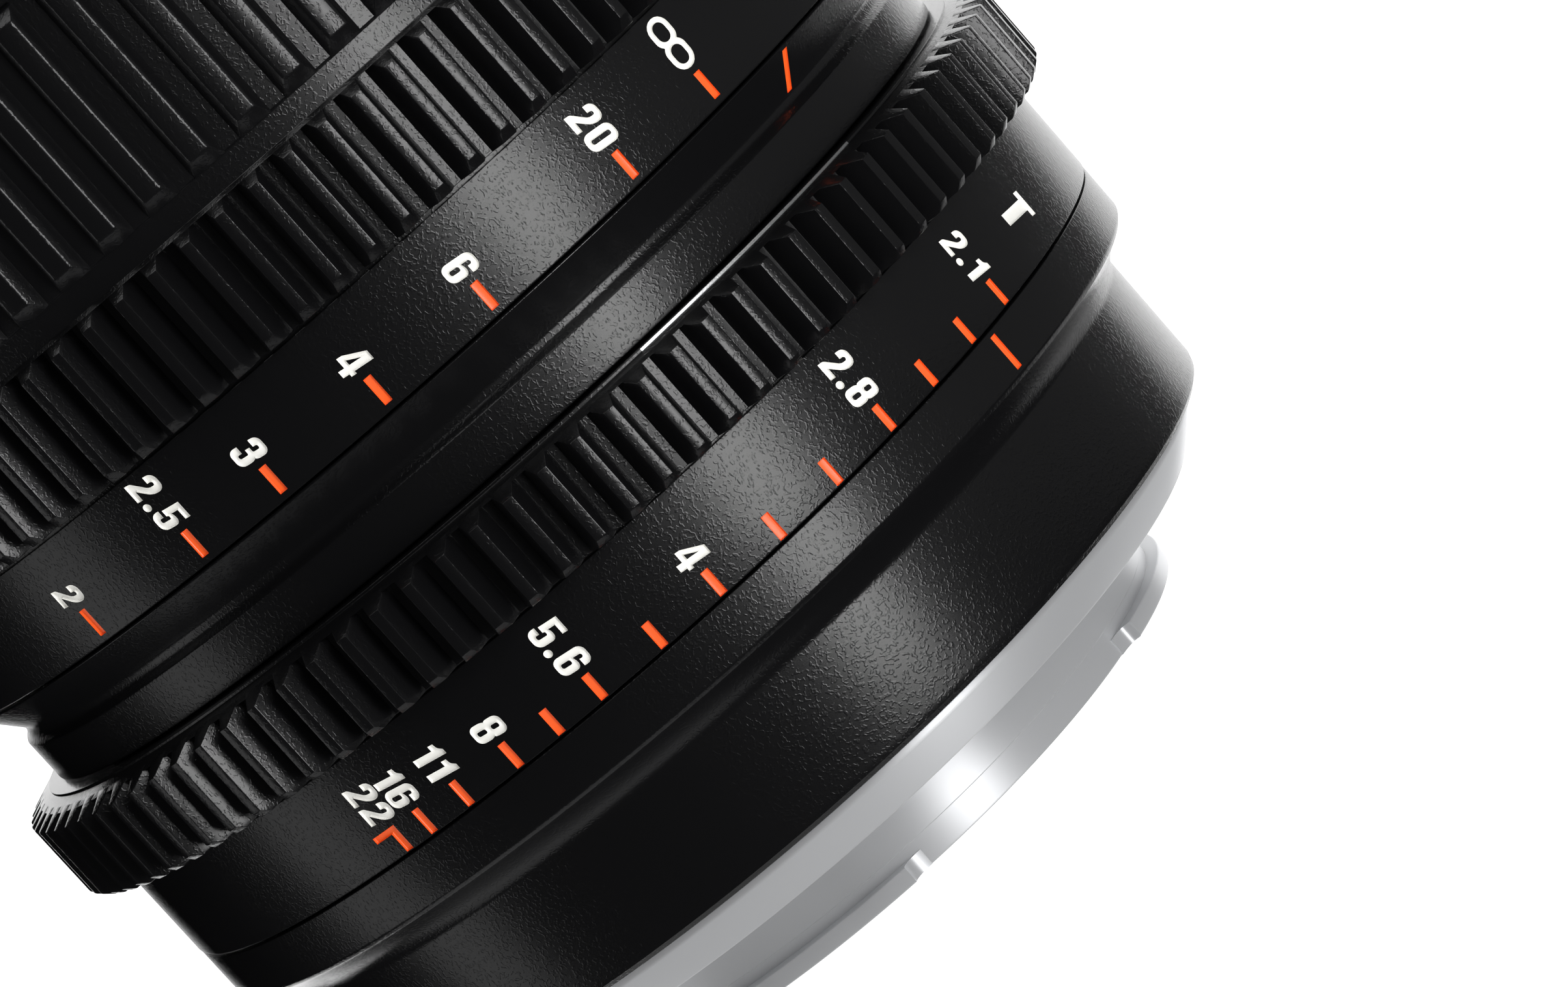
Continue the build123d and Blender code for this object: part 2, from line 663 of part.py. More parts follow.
lead = travel * 360 / focus_turn
cam_mid_r = (ring_bore_r + sleeve_r) / 2
cam_depth = sleeve_wall + 1.5
cam_path = Helix(lead, travel, cam_mid_r, lefthand=True)
cam_start = Plane(origin=cam_path @ 0, x_dir=(1, 0, 0), z_dir=cam_path % 0)
cam_run = sweep(cam_start * Rectangle(cam_depth, 2 * (follower_r + pin_gap)), path=cam_path,
                is_frenet=True)

with BuildPart() as focus_cam_sleeve:
    tube(ring_bore_r, sleeve_r, z_f + sleeve_end_gap, z_f_end - sleeve_end_gap)
    for angle in even(follower_count, follower_angle):
        near = Location((0, 0, follower_z - slide_back), (0, 0, angle + focus_rest))
        add(near * cam_run, mode=Mode.SUBTRACT)
        for turn, rise in ((focus_rest, -slide_back), (focus_rest - focus_turn, slide_on)):
            radial_rod(follower_r + pin_gap, ring_bore_r - 1, sleeve_r + 1, follower_z + rise,
                       angle + turn, Mode.SUBTRACT)
    for angle in even(ring_screw_count, ring_screw_angle):
        radial_rod(ring_screw_r, sleeve_r - ring_screw_bite, sleeve_r + 1,
                   z_f_plain + f_plain_len / 2, angle, Mode.SUBTRACT)
finish(focus_cam_sleeve.part, "focus_cam_sleeve")

with BuildPart() as focus_ring_screws:
    for angle in even(ring_screw_count, ring_screw_angle):
        radial_rod(ring_screw_r, sleeve_r - ring_screw_bite, f_plain_r - 0.2,
                   z_f_plain + f_plain_len / 2, angle)
        radial_rod(ring_screw_r / 2, f_plain_r - 1.0, f_plain_r + 1, z_f_plain + f_plain_len / 2,
                   angle, Mode.SUBTRACT)
finish(focus_ring_screws.part, "focus_ring_screws")

# The optical block, which slides without turning

with BuildPart() as block_barrel:
    tube(block_bore_r, block_r, drive_z - travel - 4, follower_z + block_front_extra)
    room = math.degrees((drive_pin_r + pin_gap) / block_bore_r) + 0.6
    sector(block_bore_r - 1, block_r + 1, drive_z - slide_on - drive_pin_r - 0.2,
           drive_z + slide_back + drive_pin_r + 0.2, drive_angle - aperture_rest - room,
           aperture_turn + 2 * room, Mode.SUBTRACT)
    for angle in even(follower_count, follower_angle):
        radial_rod(follower_r, block_bore_r - 1, block_r + 1, follower_z, angle, Mode.SUBTRACT)
finish(block_barrel.part, "block_barrel")

with BuildPart() as cam_followers:
    for angle in even(follower_count, follower_angle):
        radial_rod(follower_r, block_bore_r, sleeve_r - 0.35, follower_z, angle)
finish(cam_followers.part, "cam_followers")

window_start = drive_angle - aperture_rest - fork_half - 1.5
window_span = aperture_turn + 2 * fork_half + 3
with BuildPart() as iris_housing:
    turned([(iris_open_r, iris_z), (block_bore_r, iris_z), (block_bore_r, wall_top),
            (iris_ring_r + run_gap, wall_top), (iris_ring_r + run_gap, iris_z + iris_plate),
            (iris_open_r, iris_z + iris_plate)])
    axial_rods(pivot_pin_r + pin_gap, pivot_pcd_r, blade_count, 0, iris_z - 1,
               iris_z + iris_plate + 1, Mode.SUBTRACT)
    sector(fork_inner_r - free_gap, block_bore_r + 1, iris_z - 1, wall_top + 1, window_start,
           window_span, Mode.SUBTRACT)
    sector(iris_ring_r - 1, block_bore_r + 1, cam_z + iris_ring_thick - 0.15, wall_top + 1,
           window_start, window_span, Mode.SUBTRACT)
    for angle in even(iris_screw_count, iris_screw_angle):
        axial_rods(iris_screw_r, cover_screw_pcd_r, 1, angle, wall_top - iris_screw_bite, wall_top + 1,
                   Mode.SUBTRACT)
        axial_rods(iris_screw_r, rear_screw_pcd_r, 1, angle, iris_z - 1, iris_z + rear_screw_bite,
                   Mode.SUBTRACT)
finish(iris_housing.part, "iris_housing")

with BuildPart() as iris_cover:
    tube(iris_cover_hole_r, fork_inner_r - free_gap, wall_top, cover_top)
    for angle in even(iris_screw_count, iris_screw_angle):
        axial_rods(iris_screw_r, cover_screw_pcd_r, 1, angle, wall_top - 1, cover_top + 1,
                   Mode.SUBTRACT)
finish(iris_cover.part, "iris_cover")

with BuildPart() as iris_cover_screws:
    for angle in even(iris_screw_count, iris_screw_angle):
        axial_rods(iris_screw_r, cover_screw_pcd_r, 1, angle, wall_top - iris_screw_bite, cover_top)
        axial_rods(iris_screw_head_r, cover_screw_pcd_r, 1, angle, cover_top,
                   cover_top + iris_screw_head_len)
finish(iris_cover_screws.part, "iris_cover_screws")

cell_low = cover_top + front_cell_below
doublet_low = cell_low + cell_step
z_45 = doublet_low + glass_5_edge
doublet_high = z_45 + glass_4_edge
seat_3 = doublet_high + glass_3_gap
seat_2 = seat_3 + glass_3_edge + glass_2_gap
seat_1 = seat_2 + glass_2_edge + glass_1_gap
cell_high = seat_1 + glass_1_edge + keeper_len

with BuildPart() as front_cell:
    turned([(doublet_r - cell_step, cell_low), (block_bore_r, cell_low), (block_bore_r, cell_high),
            (glass_1_r, cell_high), (glass_1_r, seat_1), (glass_2_r, seat_1), (glass_2_r, seat_2),
            (glass_3_r, seat_2), (glass_3_r, seat_3), (doublet_r, seat_3), (doublet_r, doublet_low),
            (doublet_r - cell_step, doublet_low)])
    for angle in even(follower_count, follower_angle):
        radial_rod(follower_r, block_bore_r - 1.5, block_bore_r + 1, follower_z, angle, Mode.SUBTRACT)
finish(front_cell.part, "front_cell")

with BuildPart() as glass_element_1:
    lens(glass_1_r, seat_1, seat_1 + glass_1_edge, glass_1_hollow, glass_1_front)
finish(glass_element_1.part, "glass_element_1")

with BuildPart() as glass_element_2:
    lens(glass_2_r, seat_2, seat_2 + glass_2_edge, -glass_2_rear, glass_2_front,
         rear_bore=glass_3_r)
finish(glass_element_2.part, "glass_element_2")

with BuildPart() as glass_element_3:
    lens(glass_3_r, seat_3, seat_3 + glass_3_edge, glass_3_hollow, glass_3_front)
finish(glass_element_3.part, "glass_element_3")

with BuildPart() as glass_element_4:
    lens(doublet_r, z_45, doublet_high, -glass_45_bulge, glass_4_front)
finish(glass_element_4.part, "glass_element_4")

with BuildPart() as glass_element_5:
    lens(doublet_r, doublet_low, z_45, glass_5_hollow, -glass_45_bulge)
finish(glass_element_5.part, "glass_element_5")

with BuildPart() as front_keeper:
    tube(glass_1_r - keeper_wall, glass_1_r, seat_1 + glass_1_edge, cell_high)
finish(front_keeper.part, "front_keeper")

with BuildPart() as front_spacer:
    tube(glass_2_r - keeper_wall, glass_2_r, seat_2 + glass_2_edge, seat_1)
finish(front_spacer.part, "front_spacer")

with BuildPart() as middle_spacer:
    tube(glass_3_r - keeper_wall, glass_3_r, seat_3 + glass_3_edge, seat_2)
finish(middle_spacer.part, "middle_spacer")

with BuildPart() as doublet_keeper:
    tube(doublet_r - keeper_wall, doublet_r, doublet_high, doublet_high + doublet_ring_len)
finish(doublet_keeper.part, "doublet_keeper")

glass_6_high = iris_z - glass_6_inset
z_67 = glass_6_high - glass_6_edge
seat_7 = z_67 - glass_7_edge
seat_8 = seat_7 - rear_seat
glass_8_low = seat_8 - glass_8_edge
seat_9 = glass_8_low - rear_spacer_len
glass_9_low = seat_9 - glass_9_edge
rear_low = glass_9_low - rear_keeper_len

with BuildPart() as rear_cell:
    turned([(glass_9_r, rear_low), (rear_cell_r, rear_low), (rear_cell_r, iris_z - rear_flange_len),
            (rear_flange_r, iris_z - rear_flange_len), (rear_flange_r, iris_z), (glass_6_r, iris_z),
            (glass_6_r, seat_7), (glass_6_r - seat_width, seat_7), (glass_6_r - seat_width, seat_8),
            (glass_8_r, seat_8), (glass_8_r, seat_9), (glass_9_r, seat_9)])
    for angle in even(iris_screw_count, iris_screw_angle):
        axial_rods(iris_screw_r, rear_screw_pcd_r, 1, angle, iris_z - rear_flange_len - 1,
                   iris_z + 1, Mode.SUBTRACT)
finish(rear_cell.part, "rear_cell")

with BuildPart() as rear_cell_screws:
    low = iris_z - rear_flange_len
    for angle in even(iris_screw_count, iris_screw_angle):
        axial_rods(iris_screw_r, rear_screw_pcd_r, 1, angle, low, iris_z + rear_screw_bite)
        axial_rods(iris_screw_head_r, rear_screw_pcd_r, 1, angle, low - iris_screw_head_len, low)
finish(rear_cell_screws.part, "rear_cell_screws")

with BuildPart() as glass_element_6:
    lens(glass_6_r, z_67, glass_6_high, glass_67_bulge, -glass_6_hollow)
finish(glass_element_6.part, "glass_element_6")

with BuildPart() as glass_element_7:
    lens(glass_6_r, seat_7, z_67, -glass_7_rear, glass_67_bulge)
finish(glass_element_7.part, "glass_element_7")

with BuildPart() as glass_element_8:
    lens(glass_8_r, glass_8_low, seat_8, -glass_8_rear, -glass_8_hollow)
finish(glass_element_8.part, "glass_element_8")

with BuildPart() as rear_spacer:
    tube(glass_8_r - keeper_wall, glass_8_r, seat_9, glass_8_low)
finish(rear_spacer.part, "rear_spacer")

with BuildPart() as glass_element_9:
    lens(glass_9_r, glass_9_low, seat_9, -glass_9_rear, glass_9_front, front_bore=glass_8_r)
finish(glass_element_9.part, "glass_element_9")

with BuildPart() as rear_keeper:
    tube(glass_9_r - keeper_wall, glass_9_r, rear_low, glass_9_low)
finish(rear_keeper.part, "rear_keeper")

# The iris: a cam ring with a spiral slot for each blade


def cam_pin_at(turn, side=0.0):
    """Cam pin of the blade at angle 0, in the cam ring's own rest position.

    turn is the ring's angle from full open, side an offset across the slot."""
    def place(t):
        lift = math.radians(blade_turn * t / aperture_turn)
        start = polar(cam_pin_pcd_r, cam_pin_angle)
        x, y = start[0] - pivot_pcd_r, start[1]
        x, y = (pivot_pcd_r + x * math.cos(lift) - y * math.sin(lift),
                x * math.sin(lift) + y * math.cos(lift))
        back = math.radians(aperture_rest - t)
        return x * math.cos(back) - y * math.sin(back), x * math.sin(back) + y * math.cos(back)
    x, y = place(turn)
    x2, y2 = place(turn + 0.01)
    run = math.hypot(x2 - x, y2 - y)
    return x - side * (y2 - y) / run, y + side * (x2 - x) / run


with BuildPart() as iris_cam_ring:
    tube(iris_ring_inner_r, iris_ring_r, cam_z, cam_z + iris_ring_thick)
    half = cam_pin_r + pin_gap
    turns = [aperture_turn * i / 12 for i in range(13)]
    with BuildSketch(Plane.XY.offset(cam_z)) as cam_slots:
        with BuildLine():
            Spline(*[cam_pin_at(t, half) for t in turns])
            Line(cam_pin_at(aperture_turn, half), cam_pin_at(aperture_turn, -half))
            Spline(*[cam_pin_at(t, -half) for t in reversed(turns)])
            Line(cam_pin_at(0, -half), cam_pin_at(0, half))
        make_face()
        with Locations(cam_pin_at(0), cam_pin_at(aperture_turn)):
            Circle(half)
    for angle in even(blade_count, 0):
        extrude(cam_slots.sketch.rotate(Axis.Z, angle), amount=iris_ring_thick, mode=Mode.SUBTRACT)
finish(iris_cam_ring.part, "iris_cam_ring")

with BuildPart() as iris_drive_fork:
    plate_low = cam_z + iris_ring_thick
    sector(iris_ring_r - 2.4, fork_r, plate_low, plate_low + fork_plate, drive_angle - fork_half,
           2 * fork_half)
    prong_low = drive_z - slide_on - drive_pin_r - fork_past
    sector(fork_inner_r, fork_r, prong_low, plate_low, drive_angle - fork_half, 2 * fork_half)
    slot_half = drive_pin_r + pin_gap
    slot_top = drive_z + slide_back + drive_pin_r + 0.3
    ray = Plane(origin=polar(fork_inner_r - 1, drive_angle, 0), x_dir=(0, 0, 1),
                z_dir=polar(1, drive_angle))
    with BuildSketch(ray) as fork_slot:
        with Locations(((slot_top + prong_low - 1) / 2, 0)):
            Rectangle(slot_top - prong_low + 1, 2 * slot_half)
    extrude(fork_slot.sketch, amount=fork_thick + 2, mode=Mode.SUBTRACT)
finish(iris_drive_fork.part, "iris_drive_fork")

for number in range(blade_count):
    seat = blades_z + number * blade_pitch
    pivot = (pivot_pcd_r, 0)
    cam_pin = polar(cam_pin_pcd_r, cam_pin_angle)[:2]
    outer_r = blade_inner_r + blade_width
    with BuildPart() as iris_blade:
        with BuildSketch(Plane.XY.offset(seat)) as outline:
            with BuildLine():
                middle = (blade_start_angle + blade_end_angle) / 2
                tip = blade_inner_r + blade_width / 2
                ThreePointArc(polar(blade_inner_r, blade_start_angle)[:2], polar(blade_inner_r, middle)[:2],
                              polar(blade_inner_r, blade_end_angle)[:2])
                ThreePointArc(polar(blade_inner_r, blade_end_angle)[:2],
                              polar(tip, blade_end_angle + blade_tip_angle)[:2],
                              polar(outer_r, blade_end_angle)[:2])
                ThreePointArc(polar(outer_r, blade_end_angle)[:2], polar(outer_r, middle)[:2],
                              polar(outer_r, blade_start_angle)[:2])
                Line(polar(outer_r, blade_start_angle)[:2], polar(blade_inner_r, blade_start_angle)[:2])
            make_face()
            with Locations(pivot, cam_pin):
                Circle(tab_r)
            Polygon(polar(outer_r - 1, -3)[:2], polar(pivot_pcd_r + 0.2, -3.6)[:2],
                    polar(pivot_pcd_r + 1.05, 2)[:2], polar(cam_pin_pcd_r + 1.05, cam_pin_angle)[:2],
                    polar(cam_pin_pcd_r - 1.05, cam_pin_angle)[:2], polar(outer_r, 11)[:2],
                    polar(outer_r - 1, 14)[:2], align=None)
        extrude(outline.sketch, amount=blade_thick)
        with BuildSketch(Plane.XY.offset(iris_z + 0.2)) as pivot_pin:
            with Locations(pivot):
                Circle(pivot_pin_r)
        extrude(pivot_pin.sketch, amount=seat - iris_z - 0.2)
        with BuildSketch(Plane.XY.offset(seat + blade_thick)) as cam_stud:
            with Locations(cam_pin):
                Circle(cam_pin_r)
        extrude(cam_stud.sketch, amount=cam_z + iris_ring_thick - 0.1 - seat - blade_thick)
    angle = 360 * number / blade_count
    swung = iris_blade.part.rotate(Axis((pivot_pcd_r, 0, 0), (0, 0, 1)), blade_rest)
    finish(swung.rotate(Axis.Z, angle), f"iris_blade_{number + 1:02d}")
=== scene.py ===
import bmesh
import bpy
import math
from mathutils import Matrix, Vector


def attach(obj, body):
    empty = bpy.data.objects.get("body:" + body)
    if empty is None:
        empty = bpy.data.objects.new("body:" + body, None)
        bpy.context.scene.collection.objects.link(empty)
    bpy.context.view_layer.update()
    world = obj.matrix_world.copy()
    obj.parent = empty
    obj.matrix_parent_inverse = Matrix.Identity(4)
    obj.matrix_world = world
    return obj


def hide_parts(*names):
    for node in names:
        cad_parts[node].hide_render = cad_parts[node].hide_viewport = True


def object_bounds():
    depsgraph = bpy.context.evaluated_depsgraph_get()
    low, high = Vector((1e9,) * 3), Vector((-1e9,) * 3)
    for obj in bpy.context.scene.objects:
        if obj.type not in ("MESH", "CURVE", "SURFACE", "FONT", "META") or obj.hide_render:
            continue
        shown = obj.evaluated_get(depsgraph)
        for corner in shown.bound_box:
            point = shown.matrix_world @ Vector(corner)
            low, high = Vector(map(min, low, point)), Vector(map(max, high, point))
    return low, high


# A manual prime lens for video work. Lengths are in millimetres until MM turns
# them into metres. +Z runs towards the front glass and the mount's face is Z 0.
# Angles are in degrees about +Z, measured from +X.

MM = 0.001
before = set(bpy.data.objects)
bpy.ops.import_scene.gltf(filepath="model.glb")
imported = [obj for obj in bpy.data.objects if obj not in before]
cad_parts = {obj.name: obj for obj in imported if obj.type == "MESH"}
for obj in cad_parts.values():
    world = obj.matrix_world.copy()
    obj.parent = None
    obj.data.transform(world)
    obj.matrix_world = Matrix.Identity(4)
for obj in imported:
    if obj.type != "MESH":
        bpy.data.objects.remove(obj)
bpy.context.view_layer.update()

# Materials


def colour(code):
    """A display colour as the linear value that a shader takes."""
    shares = [int(code[i:i + 2], 16) / 255 for i in (1, 3, 5)]
    return [s / 12.92 if s <= 0.04045 else ((s + 0.055) / 1.055) ** 2.4 for s in shares] + [1.0]


def add_node(tree, kind, settings=None, links=None, **values):
    """One shader node: its settings, its sockets' values, and links into its sockets."""
    added = tree.nodes.new(kind)
    for key, value in (settings or {}).items():
        setattr(added, key, value)
    for key, value in values.items():
        added.inputs[key.replace("_", " ")].default_value = value
    for key, source in (links or {}).items():
        tree.links.new(source, added.inputs[key])
    return added


def material(name, base, roughness, metallic=0.0, **values):
    """A material with one main shader and object coordinates in millimetres."""
    made = bpy.data.materials.new(name)
    made.use_nodes = True
    tree = made.node_tree
    shader = tree.nodes["Principled BSDF"]
    shader.inputs["Base Color"].default_value = colour(base)
    shader.inputs["Roughness"].default_value = roughness
    shader.inputs["Metallic"].default_value = metallic
    for key, value in values.items():
        shader.inputs[key.replace("_", " ")].default_value = value
    place = add_node(tree, "ShaderNodeTexCoord")
    real = add_node(tree, "ShaderNodeVectorMath", {"operation": "SCALE"},
                    {"Vector": place.outputs["Object"]}, Scale=1 / MM)
    return made, tree, shader, real.outputs["Vector"]


def bump(tree, shader, height, depth):
    """Relief from a height that runs from 0 to 1, with its real depth in millimetres."""
    relief = add_node(tree, "ShaderNodeBump", None, {"Height": height}, Strength=1.0,
                      Distance=depth * MM)
    tree.links.new(relief.outputs["Normal"], shader.inputs["Normal"])


CREASE_WIDTH = 0.12             # share of the noise's range that one crease takes up
BREAK_SCALE = 1.3               # how much finer the noise is that breaks the creases up
BREAK_FROM, BREAK_TO = 0.42, 0.55


def creased_paint(name, base, roughness, crease, depth):
    """Black textured paint on aluminium, with short curved creases of the size given."""
    made, tree, shader, real = material(name, base, roughness)
    # A crease runs where a noise passes through its middle value, and a second noise breaks it up
    field = add_node(tree, "ShaderNodeTexNoise", None, {"Vector": real}, Scale=1.0 / crease,
                     Detail=1.0)
    off = add_node(tree, "ShaderNodeMath", {"operation": "SUBTRACT"}, {0: field.outputs["Fac"]})
    off.inputs[1].default_value = 0.5
    away = add_node(tree, "ShaderNodeMath", {"operation": "ABSOLUTE"}, {0: off.outputs["Value"]})
    line = add_node(tree, "ShaderNodeMapRange", {"interpolation_type": "SMOOTHSTEP"},
                    {"Value": away.outputs["Value"]}, From_Min=0.0, From_Max=CREASE_WIDTH,
                    To_Min=1.0, To_Max=0.0)
    where = add_node(tree, "ShaderNodeTexNoise", None, {"Vector": real},
                     Scale=BREAK_SCALE / crease, Detail=0.0)
    broken = add_node(tree, "ShaderNodeMapRange", {"interpolation_type": "SMOOTHSTEP"},
                      {"Value": where.outputs["Fac"]}, From_Min=BREAK_FROM, From_Max=BREAK_TO,
                      To_Min=0.0, To_Max=1.0)
    height = add_node(tree, "ShaderNodeMath", {"operation": "MULTIPLY"},
                      {0: line.outputs["Result"], 1: broken.outputs["Result"]})
    bump(tree, shader, height.outputs["Value"], depth)
    return made


def plain_finish(name, base, roughness, metallic, grain, depth, variation=0.05, **values):
    """A plain finish with a fine even grain."""
    made, tree, shader, real = material(name, base, roughness, metallic, **values)
    noise = add_node(tree, "ShaderNodeTexNoise", None, {"Vector": real}, Scale=1.0 / grain, Detail=2.0)
    bump(tree, shader, noise.outputs["Fac"], depth)
    rough = add_node(tree, "ShaderNodeMapRange", None, {"Value": noise.outputs["Fac"]},
                     To_Min=roughness - variation, To_Max=roughness + variation)
    tree.links.new(rough.outputs["Result"], shader.inputs["Roughness"])
    return made


def turned_metal(name, base, roughness, lines, depth):
    """Metal finished in a lathe, with fine rings round the axis."""
    made, tree, shader, real = material(name, base, roughness, 1.0)
    split = add_node(tree, "ShaderNodeSeparateXYZ", None, {"Vector": real})
    x_squared = add_node(tree, "ShaderNodeMath", {"operation": "MULTIPLY"},
                         {0: split.outputs["X"], 1: split.outputs["X"]})
    both_squared = add_node(tree, "ShaderNodeMath", {"operation": "MULTIPLY_ADD"},
                            {0: split.outputs["Y"], 1: split.outputs["Y"],
                             2: x_squared.outputs["Value"]})
    radius = add_node(tree, "ShaderNodeMath", {"operation": "SQRT"},
                      {0: both_squared.outputs["Value"]})
    along = add_node(tree, "ShaderNodeMath", {"operation": "ADD"},
                     {0: radius.outputs["Value"], 1: split.outputs["Z"]})
    rings = add_node(tree, "ShaderNodeTexNoise", {"noise_dimensions": "1D"},
                     {"W": along.outputs["Value"]}, Scale=1.0 / lines, Detail=2.0)
    bump(tree, shader, rings.outputs["Fac"], depth)
    return made


# Black textured paint on the barrel and rings
BLACK_PAINT = creased_paint("Black creased paint", "#0c0c0d", 0.26, 0.35, 0.0064)
# Satin chrome plating on the turned brass mount, brushed round the axis
SATIN_CHROME = plain_finish("Satin chrome plating", "#cfd0d2", 0.47, 0.6, 0.05, 0.0008,
                            Anisotropic=0.88, Anisotropic_Rotation=0.25)
chrome_tree = SATIN_CHROME.node_tree
brushing = add_node(chrome_tree, "ShaderNodeTangent", {"direction_type": "RADIAL", "axis": "Z"})
chrome_tree.links.new(brushing.outputs["Tangent"],
                      chrome_tree.nodes["Principled BSDF"].inputs["Tangent"])
# Stainless steel of the mount's screws and the drive pin
STEEL = turned_metal("Turned stainless steel", "#b9bbbd", 0.28, 0.08, 0.001)
# Blackened steel of the inner screws and grub screws
BLACK_SCREW = plain_finish("Black oxide on steel", "#151516", 0.38, 0.6, 0.05, 0.001)
# Brass of the shim and the cam followers
BRASS = turned_metal("Turned brass", "#c8a45a", 0.30, 0.08, 0.001)
# Grey hard anodising on the cam sleeve and the iris cam ring
ALUMINIUM = turned_metal("Hard anodised aluminium", "#3b3b3e", 0.42, 0.10, 0.002)
# Black anodising on the cells, spacers, baffles and tubes inside
BLACK_INNER = turned_metal("Black anodised aluminium", "#0b0b0c", 0.45, 0.15, 0.003)
# Lacquer on the iris blades
BLADE_BLACK = plain_finish("Matt black blade lacquer", "#0d0d0e", 0.55, 0.0, 0.04, 0.0005)
# Enamel in the engraved numerals, and in the ticks and indexes
WHITE_ENAMEL = plain_finish("White enamel", "#f2f1ec", 0.35, 0.0, 0.2, 0.004)
ORANGE_ENAMEL = plain_finish("Orange enamel", "#f6621f", 0.32, 0.0, 0.2, 0.004)
# Bright bare metal laid on the aperture ring's front lip as a painted highlight, where the light
# catches it
LIP_HIGHLIGHT_METAL = plain_finish("Bright metal painted as lip highlight", "#d9dadb", 0.32, 1.0, 0.12, 0.01, 0.12)


def coated_glass(name, tint):
    """Optical glass with a thin coating that tints its reflections."""
    return material(name, "#f7faf8", 0.02, IOR=1.62, Transmission_Weight=1.0,
                    Specular_Tint=colour(tint))[0]


# Optical glass, each element with one of three antireflection coatings
COATINGS = (coated_glass("Coated glass with green sheen", "#3f8a5c"),
            coated_glass("Coated glass with amber sheen", "#96632f"),
            coated_glass("Coated glass with violet sheen", "#5a50ac"))
GLASS_INSET = 0.02


def finish_throughout(obj, finish):
    """Gives an object one material throughout."""
    obj.data.materials.clear()
    obj.data.materials.append(finish)
    for face in obj.data.polygons:
        face.material_index = 0


for node_name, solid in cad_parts.items():
    finish = BLACK_INNER
    if "glass" in node_name:
        finish = COATINGS[int(node_name[-1]) % len(COATINGS)]
        # Each glass is drawn a hair inside its seat, so that no two faces lie in one place
        inset = solid.modifiers.new("inset", "DISPLACE")
        inset.strength, inset.mid_level = -GLASS_INSET * MM, 0.0
    elif "blade" in node_name:
        finish = BLADE_BLACK
    elif node_name in ("focus_cam_sleeve", "iris_cam_ring"):
        finish = ALUMINIUM
    elif node_name in ("mount_shim", "cam_followers"):
        finish = BRASS
    elif node_name == "mount_flange":
        finish = SATIN_CHROME
    elif node_name in ("mount_screws", "aperture_drive_pin"):
        finish = STEEL
    elif "screws" in node_name:
        finish = BLACK_SCREW
    elif node_name in ("rear_barrel", "mid_barrel", "front_barrel", "aperture_ring", "focus_ring"):
        finish = BLACK_PAINT
    finish_throughout(solid, finish)

# Shapes

RING_STEPS = 360
SHARP_ANGLE = 28.0      # edges that turn by more stay crisp


def eased_loop(bm, corners, segments=3):
    """A closed outline of (x, z, ease) corners as a face in the XZ plane, its corners rounded."""
    verts = [bm.verts.new((x, 0, z)) for x, z, ease in corners]
    bm.faces.new(verts)
    groups = {}
    for vert, corner in zip(verts, corners):
        if corner[2]:
            groups.setdefault(corner[2], []).append(vert)
    for ease, group in groups.items():
        bmesh.ops.bevel(bm, geom=group, offset=ease, offset_type="OFFSET", segments=segments,
                        profile=0.5, affect="VERTICES", material=-1)


def turn_round(bm, angle):
    """Turns a bmesh about the lens's axis."""
    bmesh.ops.rotate(bm, verts=bm.verts[:], cent=(0, 0, 0),
                     matrix=Matrix.Rotation(math.radians(angle), 3, "Z"))


def draw_out(bm, faces, step):
    """Draws faces out into a solid by a step. Returns what that adds."""
    added = bmesh.ops.extrude_face_region(bm, geom=faces)["geom"]
    bmesh.ops.translate(bm, verts=[v for v in added if isinstance(v, bmesh.types.BMVert)], vec=step)
    return added


def bow(start, end, sag, steps):
    """Points between two (radius, z) points on a curve that hollows by sag."""
    points = []
    for i in range(1, steps):
        t = i / steps
        points.append((start[0] + (end[0] - start[0]) * t - 4 * sag * t * (1 - t),
                       start[1] + (end[1] - start[1]) * t, 0))
    return points


def spun(corners, first=0.0, span=360.0, steps=RING_STEPS):
    """A ring, or part of one, turned from an outline of (radius, z, ease) corners."""
    bm = bmesh.new()
    eased_loop(bm, corners)
    whole = span == 360.0
    if whole:
        bmesh.ops.delete(bm, geom=bm.faces[:], context="FACES_ONLY")
    else:
        turn_round(bm, first)
    bmesh.ops.spin(bm, geom=bm.verts[:] + bm.edges[:] + bm.faces[:], cent=(0, 0, 0), axis=(0, 0, 1),
                   dvec=(0, 0, 0), angle=math.radians(span), steps=steps, use_merge=whole,
                   use_normal_flip=False, use_duplicate=False)
    bmesh.ops.recalc_face_normals(bm, faces=bm.faces[:])
    return bm


def join(bm, other):
    """Adds another bmesh's shape to this one and frees it."""
    held = bpy.data.meshes.new("held")
    other.to_mesh(held)
    other.free()
    bm.from_mesh(held)
    bpy.data.meshes.remove(held)


SUNK = 0.15             # how far a tooth's foot goes into its ring
FLARE = 0.02            # and how much wider it is there


